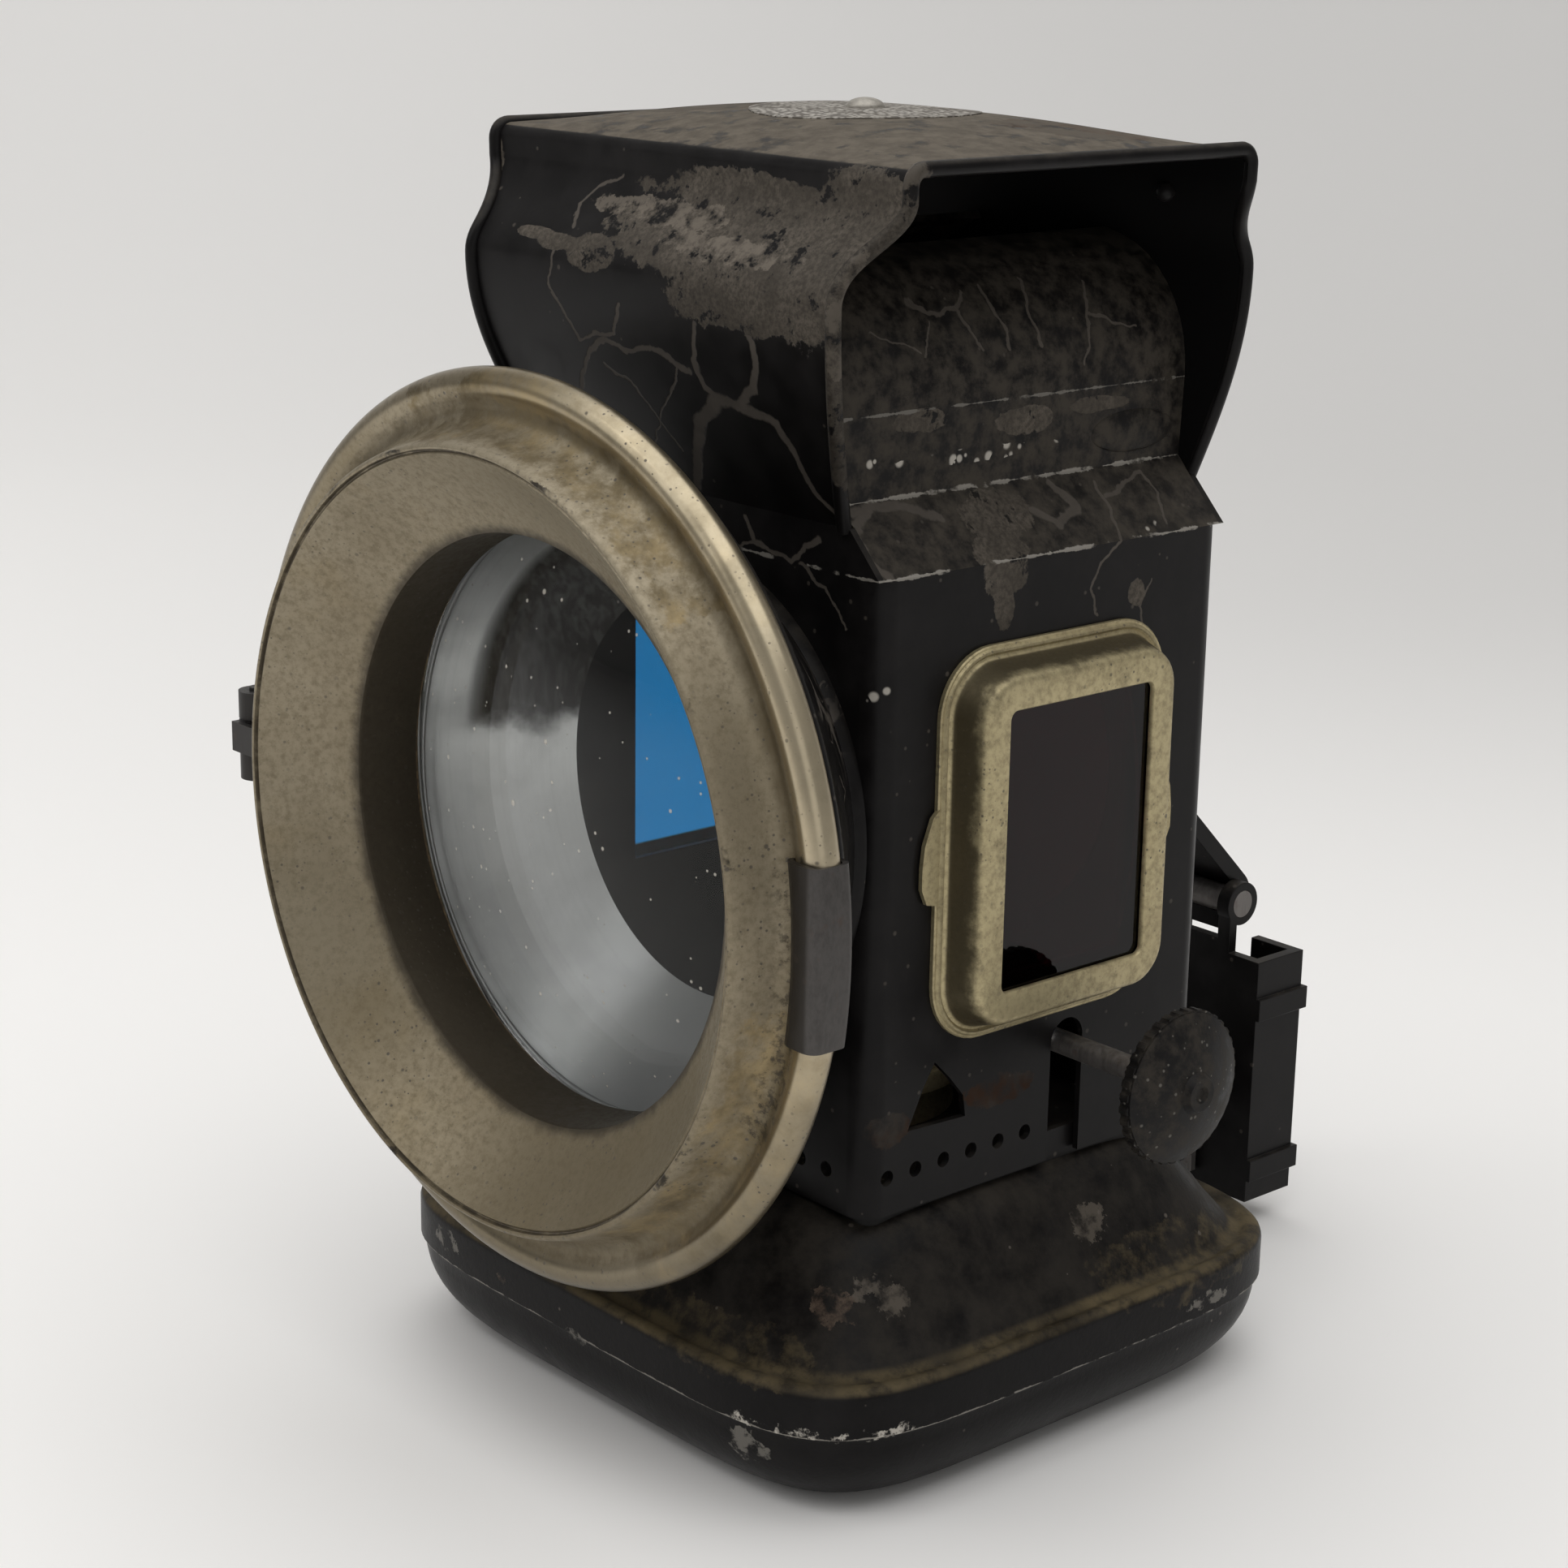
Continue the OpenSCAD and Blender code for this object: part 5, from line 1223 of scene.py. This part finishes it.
class LAMP_OT_hood(bpy.types.Operator):
    """Hood bent from one sheet, with wired hems on its open sides, its disc and rivets"""

    bl_idname = "lamp.hood"
    bl_label = "Hood"

    def execute(self, context):
        line = hood_line()
        hem = size_mm("hem")
        sheet = size_mm("sheet")
        columns = 48
        bm = drawn_out([(-1.0, y, z) for y, z in line], (2.0, 0, 0), columns)
        for v in bm.verts:
            v.co.x *= hood_reach(v.co.z) - hem * 0.6
            if v.co.z > HOOD_EDGE_Z - 0.01:
                v.co.z += crown_rise(v.co.x, v.co.y)
        face_towards(bm, (0, 0, 1), HOOD_EDGE_Z - 0.1)
        add_piece("hood_sheet", bm, "hood", "hood", 50, sheet=sheet)
        bm = bmesh.new()
        for side in (-1, 1):
            swept(bm, [(side * (hood_reach(z) - hem), y, z - hem * 0.2) for y, z in line], hem)
        add_piece("hood_hems", bm, "hood", "hem", 50, replaces=False)
        thick = 0.12
        radii = [size_mm("disc") * k / 16 for k in range(17)]
        bm = spun([(r, HOOD_MID_Y, HOOD_EDGE_Z) for r in radii], (0, HOOD_MID_Y, 0), (0, 0, 1), 96)
        for v in bm.verts:
            v.co.z += crown_rise(v.co.x, v.co.y) + thick
        face_towards(bm, (0, 0, 1))
        add_piece("hood_disc_plate", bm, "hood_disc", "disc", 40, sheet=thick)
        head = egg((0, HOOD_MID_Y, HOOD_EDGE_Z + size_mm("crown") + thick), (2.2, 2.2, 1.05), 32)
        add_piece("hood_rivet_head", head, "hood_rivet", "rivet", 60)
        inner = egg((23, HOOD_REAR_Y - sheet, HOOD_EDGE_Z - 5.7), (1.1, 1.1, 1.1), 24)
        add_piece("hood_inner_rivet", inner, "hood", "plain", 60, replaces=False)
        return {"FINISHED"}


class LAMP_OT_front(bpy.types.Operator):
    """Front door: nickelled ring with bead and dish, domed glass, packing, hinge and clip"""

    bl_idname = "lamp.front"
    bl_label = "Front door"

    def execute(self, context):
        bead = size_mm("bead")
        bead_centre = (BEZEL_HIGH.x - bead, BEZEL_LOW.y + 7.3)
        add_piece("bezel_ring", turned(self.ring(bead, bead_centre), 192), "bezel", "bezel", 40)
        thick = 2.6
        rim_y = GLASS_HIGH.y - thick
        rise = rim_y - GLASS_LOW.y
        dome_r = HOLE_R - 0.2
        shares = [k / 16 for k in range(17)]
        dome = [(dome_r * t, rim_y - rise * (1 - t ** 2)) for t in shares]
        rim = [(GLASS_HIGH.x, rim_y), (GLASS_HIGH.x, GLASS_HIGH.y)]
        shell = dome + rim + [(r, y + thick) for r, y in reversed(dome)]
        add_piece("front_glass_dome", turned(shell, 128, False), "front_glass", "glass", 50)
        film = turned([(r * 0.995, y - 0.05) for r, y in dome], 128, False)
        add_piece("glass_dust_film", film, "front_glass", "glass_dust", 50, replaces=False)
        dressed_copy("glass_packing", "cork")
        dressed_copy("glass_ring", "wire", 40)
        for node in ("hinge_leaf", "hinge_pin", "door_knuckle"):
            dressed_copy(node, "hinge", 40)
        self.clip(bead, *bead_centre)
        return {"FINISHED"}

    def ring(self, bead, bead_centre):
        """Section of the ring as radius and Y: cup for the glass, dished face, ridge, drum, bead and back."""
        ridge_y = BEZEL_LOW.y
        bead_y = bead_centre[1]
        hole_y = ridge_y + 8.0
        glass_y = hole_y + 8.0
        breadth = RIDGE_R - HOLE_R - 1.35
        shares = [k / 12 for k in range(13)]
        dish = [(0.6 + breadth * t, -0.15 - 7.5 * t + 0.5 * math.sin(math.pi * t)) for t in shares]
        ridge = [(-0.5, 0.55), (-0.35, 0.5), (-0.25, 0.1), (-0.05, 0), (0.2, 0.1), (0.4, 0.4), (0.65, 1.3),
                 (0.95, 2.4), (1.25, 3.5), (1.6, 4.5), (2.05, 5.35), (2.6, 5.9), (3.2, 6.15), (3.85, 6.15),
                 (4.4, 5.9)]
        section = [(HOLE_R, glass_y), (HOLE_R, hole_y + 0.4), (HOLE_R + 0.15, hole_y + 0.05)]
        section += [(HOLE_R + r, hole_y + y) for r, y in dish]
        section += [(RIDGE_R + r, ridge_y + y) for r, y in ridge]
        section += arc(bead_centre, bead, -118, 165, 26)
        section += [(RIDGE_R + r, bead_y + y) for r, y in ((2.3, 0.4), (0.7, -0.9), (0.1, -3.2))]
        section += [(RIDGE_R - 0.7, ridge_y + 1.6), (HOLE_R + 1.8, hole_y + 0.9),
                    (HOLE_R + 1.0, hole_y + 1.5)]
        cup = [(1.0, -1), (2.9, -1), (2.9, 2.8), (1.9, 2.8), (1.9, 0)]
        return section + [(HOLE_R + r, glass_y + y) for r, y in cup]

    def clip(self, bead, ring_r, bead_y):
        """Straight piece of sheet folded over the bead."""
        low, high = corners_mm("catch_clip")
        low.z += 1.4
        reach = high.x - 0.3
        bow = 0.75
        front_y = bead_y - bead
        rear_y = bead_y + bead
        flap = ((-2.7, 0.25), (-2.4, -0.3), (-1.6, -0.65), (0.6, -0.75))
        line = [(ring_r + x, front_y + y) for x, y in flap]
        line += arc((reach - 1.3, front_y + 0.6), 1.3, -80, 0, 6)
        line += arc((reach - 1.0, rear_y - 0.7), 1.0, 0, 80, 6)
        line.append((ring_r - 0.2, rear_y + 0.4))
        tall = high.z - low.z
        bm = drawn_out([(x, y, low.z) for x, y in line], (0, 0, tall), 16)
        for v in bm.verts:
            away = (v.co.z - (low.z + high.z) / 2) / tall * 2
            v.co.x -= bow * away * away
        face_towards(bm, (1, 0, 0))
        add_piece("catch_clip_fold", bm, "catch_clip", "clip", 40, sheet=0.6)


class LAMP_OT_flare(bpy.types.Operator):
    """Black cone behind the door, its silvered lining and the rear reflector"""

    bl_idname = "lamp.flare"
    bl_label = "Cone and reflector"

    def execute(self, context):
        dressed_copy("front_flare", "flare", 40)
        self.lining()
        dressed_copy("rear_reflector", "silver", 40)
        dressed_copy("reflector_stay", "steel", 40)
        return {"FINISHED"}

    def lining(self):
        """Cone of the lining, which runs on a little way into the case."""
        wall = 0.56
        run_on = 3.2
        points = [v.co / MM for v in frame["nodes"]["flare_liner"].data.vertices]
        mouth = max(math.hypot(p.x, p.z - FRONT_Z) for p in points if p.y > LINER_HIGH.y - 0.1)
        slope = (LINER_HIGH.x - mouth) / (LINER_HIGH.y - LINER_LOW.y)
        outline = [(LINER_HIGH.x, LINER_LOW.y), (mouth, LINER_HIGH.y),
                   (mouth - slope * run_on, LINER_HIGH.y + run_on)]
        outline += [(r - wall, y) for r, y in reversed(outline)]
        add_piece("flare_lining", turned(outline, 160), "flare_liner", "lining", 40)


class LAMP_OT_windows(bpy.types.Operator):
    """Pressed window frames with the ruby and the blue pane and the springs behind them"""

    bl_idname = "lamp.windows"
    bl_label = "Windows"

    def execute(self, context):
        for side, glass, outward in (("right", "ruby", 1), ("left", "blue", -1)):
            self.frame("window_frame_" + side, outward)
            dressed_copy("pane_" + side, glass)
            dressed_copy("pane_springs_" + side, "steel")
        return {"FINISHED"}

    def frame(self, node, outward):
        """Frame pressed from sheet: flat crest, steep flank and a flange with a raised line and two ears."""
        crest = [(0, -0.65), (0, -0.25), (0.15, -0.05), (0.5, 0), (2.9, 0), (3.3, -0.1), (3.65, -0.4),
                 (3.85, -0.8)]
        flange = [(4.35, 2.6), (4.7, 1.5), (4.85, 1.1), (5.05, 0.85), (5.3, 0.75), (5.6, 1.0), (5.85, 0.95),
                  (6.05, 0.7), (6.25, 0.7), (6.4, 0.55), (6.4, 0.05)]
        section = [(across, FRAME_PROUD + rise) for across, rise in crest] + flange
        corner_r = 1
        ear_x = outward * (CASE_HALF + 0.75)
        ear = [(6.1, 5.4), (7.2, 4.4), (8.3, 1.5), (8.6, -1.0), (8.6, -3.4), (7.8, -5.2), (6.1, -5.6)]
        middle = (PANE_LOW + PANE_HIGH) / 2
        half = (PANE_HIGH - PANE_LOW) / 2 - Vector((0, PANE_LAP, PANE_LAP))
        rings = []
        for across, rise in section:
            spots = []
            for quarter, (right, up) in enumerate(((1, 1), (-1, 1), (-1, -1), (1, -1))):
                centre = (middle.y + right * (half.y - corner_r), middle.z + up * (half.z - corner_r))
                spots += arc(centre, corner_r + across, 90 * quarter, 90 * quarter + 90, 10)
            rings.append([(outward * (CASE_HALF + rise), y, z) for y, z in spots])
        bm = stacked(rings)
        for way in (-1, 1):
            edge = middle.y + way * half.y
            verts = profile(bm, [(ear_x, edge + way * out, middle.z + up) for out, up in ear])
            bm.edges.new((verts[-1], verts[0]))
            bmesh.ops.contextual_create(bm, geom=verts)
        bmesh.ops.recalc_face_normals(bm, faces=bm.faces)
        flip = [f for f in bm.faces if f.normal.x * outward < -0.2]
        if flip:
            bmesh.ops.reverse_faces(bm, faces=flip)
        add_piece(node + "_pressed", bm, node, "frame", 40, sheet=0.55)


class LAMP_OT_bracket(bpy.types.Operator):
    """Arm, buffer spring and swinging socket at the back"""

    bl_idname = "lamp.bracket"
    bl_label = "Bracket"

    def execute(self, context):
        for node in ("bracket_arm", "bracket_socket"):
            dressed_copy(node, "plain", 35, 0.25)
        dressed_copy("arm_rivets", "plain", 50)
        dressed_copy("buffer_spring", "steel", 35, 0.1)
        dressed_copy("buffer_rivets", "steel", 50)
        dressed_copy("socket_pin", "steel", 40)
        return {"FINISHED"}


# Stage


def area_light(name, place, aim, size, watts):
    """Soft square light turned towards a point."""
    data = bpy.data.lights.new(name, "AREA")
    data.shape = "RECTANGLE"
    data.size = size
    data.size_y = size
    data.energy = watts
    light = bpy.data.objects.new(name, data)
    bpy.context.scene.collection.objects.link(light)
    light.location = place
    light.rotation_euler = (Vector(aim) - Vector(place)).to_track_quat("-Z", "Y").to_euler()


def add_ground():
    """Pale ground curving up into a backdrop behind the lamp, with painted shade far back and far right."""
    bend = 0.6
    half = 3.0
    angles = [math.pi / 2 * k / 16 for k in range(17)]
    curve = [(bend + bend * math.sin(a), bend - bend * math.cos(a)) for a in angles]
    back = [(-half, 0.0), *curve, (1.2, 2.0)]
    bm = drawn_out([(-half, y, z) for y, z in back], (2 * half, 0, 0))
    bmesh.ops.rotate(bm, cent=(0, 0, 0), matrix=Matrix.Rotation(STAGE_TURN, 3, "Z"), verts=bm.verts)
    bmesh.ops.recalc_face_normals(bm, faces=bm.faces)
    for face in bm.faces:
        face.smooth = True
    skin = Skin("pale_ground", tone("ground"), 0.9)
    far = skin.number("DOT_PRODUCT", skin.place, (-math.sin(STAGE_TURN), math.cos(STAGE_TURN), 0))
    right = skin.number("DOT_PRODUCT", skin.place, (math.cos(STAGE_TURN), math.sin(STAGE_TURN), 0))
    # Painted shade on the ground: darker further back, and darker still towards the far right.
    skin.coat(skin.step(far, 0.3, 0.9), tone("ground", 0.88))
    skin.coat(skin.times(skin.step(far, 0.0, 0.45), skin.step(right, -0.35, 0.2)), tone("ground", 0.72))
    add_object("ground", bm, skin.done())


def add_room(stage):
    """Even light from all round, shown paler to the camera than it shines."""
    world = bpy.data.worlds.new("room_light")
    world.use_nodes = True
    graph = Graph(world.node_tree)
    background = world.node_tree.nodes["Background"]
    seen = graph.add("LightPath").outputs["Is Camera Ray"]
    levels = {0: seen, 1: stage.backdrop - stage.sky, 2: stage.sky}
    level = graph.add("Math", levels, operation="MULTIPLY_ADD")
    graph.put(background.inputs["Color"], (1.0, 0.99, 0.975, 1.0))
    graph.put(background.inputs["Strength"], level.outputs[0])
    bpy.context.scene.world = world


def place_camera():
    """Camera at the photograph's angle, with the focal length in pixels of the photograph's width."""
    turn, tilt, roll = (math.radians(a) for a in (48.44, 15.93, 0.98))
    target = Vector((-5.12, -5.28, 69.20)) * MM
    distance = 374.65 * MM
    focal_pixels = 3916.18
    photo_pixels = 1932
    back = Vector((math.sin(turn) * math.cos(tilt), -math.cos(turn) * math.cos(tilt), math.sin(tilt)))
    right = Vector((math.cos(turn), math.sin(turn), 0))
    up = back.cross(right)
    level = right * math.cos(roll) + up * math.sin(roll)
    upright = up * math.cos(roll) - right * math.sin(roll)
    data = bpy.data.cameras.new("camera")
    data.sensor_width = 36.0
    data.lens = data.sensor_width * focal_pixels / photo_pixels
    data.clip_start = 0.01
    camera = bpy.data.objects.new("camera", data)
    bpy.context.scene.collection.objects.link(camera)
    turned_to = Matrix((level, upright, back)).transposed().to_4x4()
    camera.matrix_world = Matrix.Translation(target + back * distance) @ turned_to
    bpy.context.scene.camera = camera


class LAMP_OT_stage(bpy.types.Operator):
    """Pale ground with a curved backdrop, soft light and the camera"""

    bl_idname = "lamp.stage"
    bl_label = "Stage"

    def execute(self, context):
        stage = context.scene.lamp_stage
        add_ground()
        add_room(stage)
        area_light("overhead_light", (0.15, -0.15, 1.5), (0.15, -0.15, 0), 2.2, stage.overhead)
        area_light("key_light", (-0.30, -0.62, 0.55), (0, 0, 0.06), 0.5, stage.key)
        area_light("fill_light", (0.75, -0.45, 0.35), (0, 0, 0.07), 0.5, stage.fill)
        context.scene.view_settings.view_transform = "Standard"
        place_camera()
        return {"FINISHED"}


OPERATORS = (LAMP_OT_finishes, LAMP_OT_stage, LAMP_OT_tank, LAMP_OT_burner, LAMP_OT_wick, LAMP_OT_case,
             LAMP_OT_hood, LAMP_OT_front, LAMP_OT_flare, LAMP_OT_windows, LAMP_OT_bracket)


class LAMP_PT_panel(bpy.types.Panel):
    """Sidebar list of the lamp's building steps, sizes and colours"""

    bl_label = "Bicycle Oil Lamp"
    bl_idname = "LAMP_PT_panel"
    bl_space_type = "VIEW_3D"
    bl_region_type = "UI"
    bl_category = "Lamp"

    def draw(self, context):
        for group in (context.scene.lamp_sizes, context.scene.lamp_colours, context.scene.lamp_stage):
            box = self.layout.box()
            for name in group.__annotations__:
                box.prop(group, name)
        for operator in OPERATORS:
            self.layout.operator(operator.bl_idname)


CLASSES = (LampSizes, LampColours, LampStage) + OPERATORS + (LAMP_PT_panel,)


def register():
    for cls in CLASSES:
        bpy.utils.register_class(cls)
    bpy.types.Scene.lamp_sizes = PointerProperty(type=LampSizes)
    bpy.types.Scene.lamp_colours = PointerProperty(type=LampColours)
    bpy.types.Scene.lamp_stage = PointerProperty(type=LampStage)


def unregister():
    del bpy.types.Scene.lamp_stage
    del bpy.types.Scene.lamp_colours
    del bpy.types.Scene.lamp_sizes
    for cls in reversed(CLASSES):
        bpy.utils.unregister_class(cls)


def main():
    register()
    bpy.ops.lamp.finishes()
    bpy.ops.lamp.stage()
    bpy.ops.lamp.tank()
    bpy.ops.lamp.burner()
    bpy.ops.lamp.wick()
    bpy.ops.lamp.case()
    bpy.ops.lamp.hood()
    bpy.ops.lamp.front()
    bpy.ops.lamp.flare()
    bpy.ops.lamp.windows()
    bpy.ops.lamp.bracket()


if __name__ == "__main__":
    main()
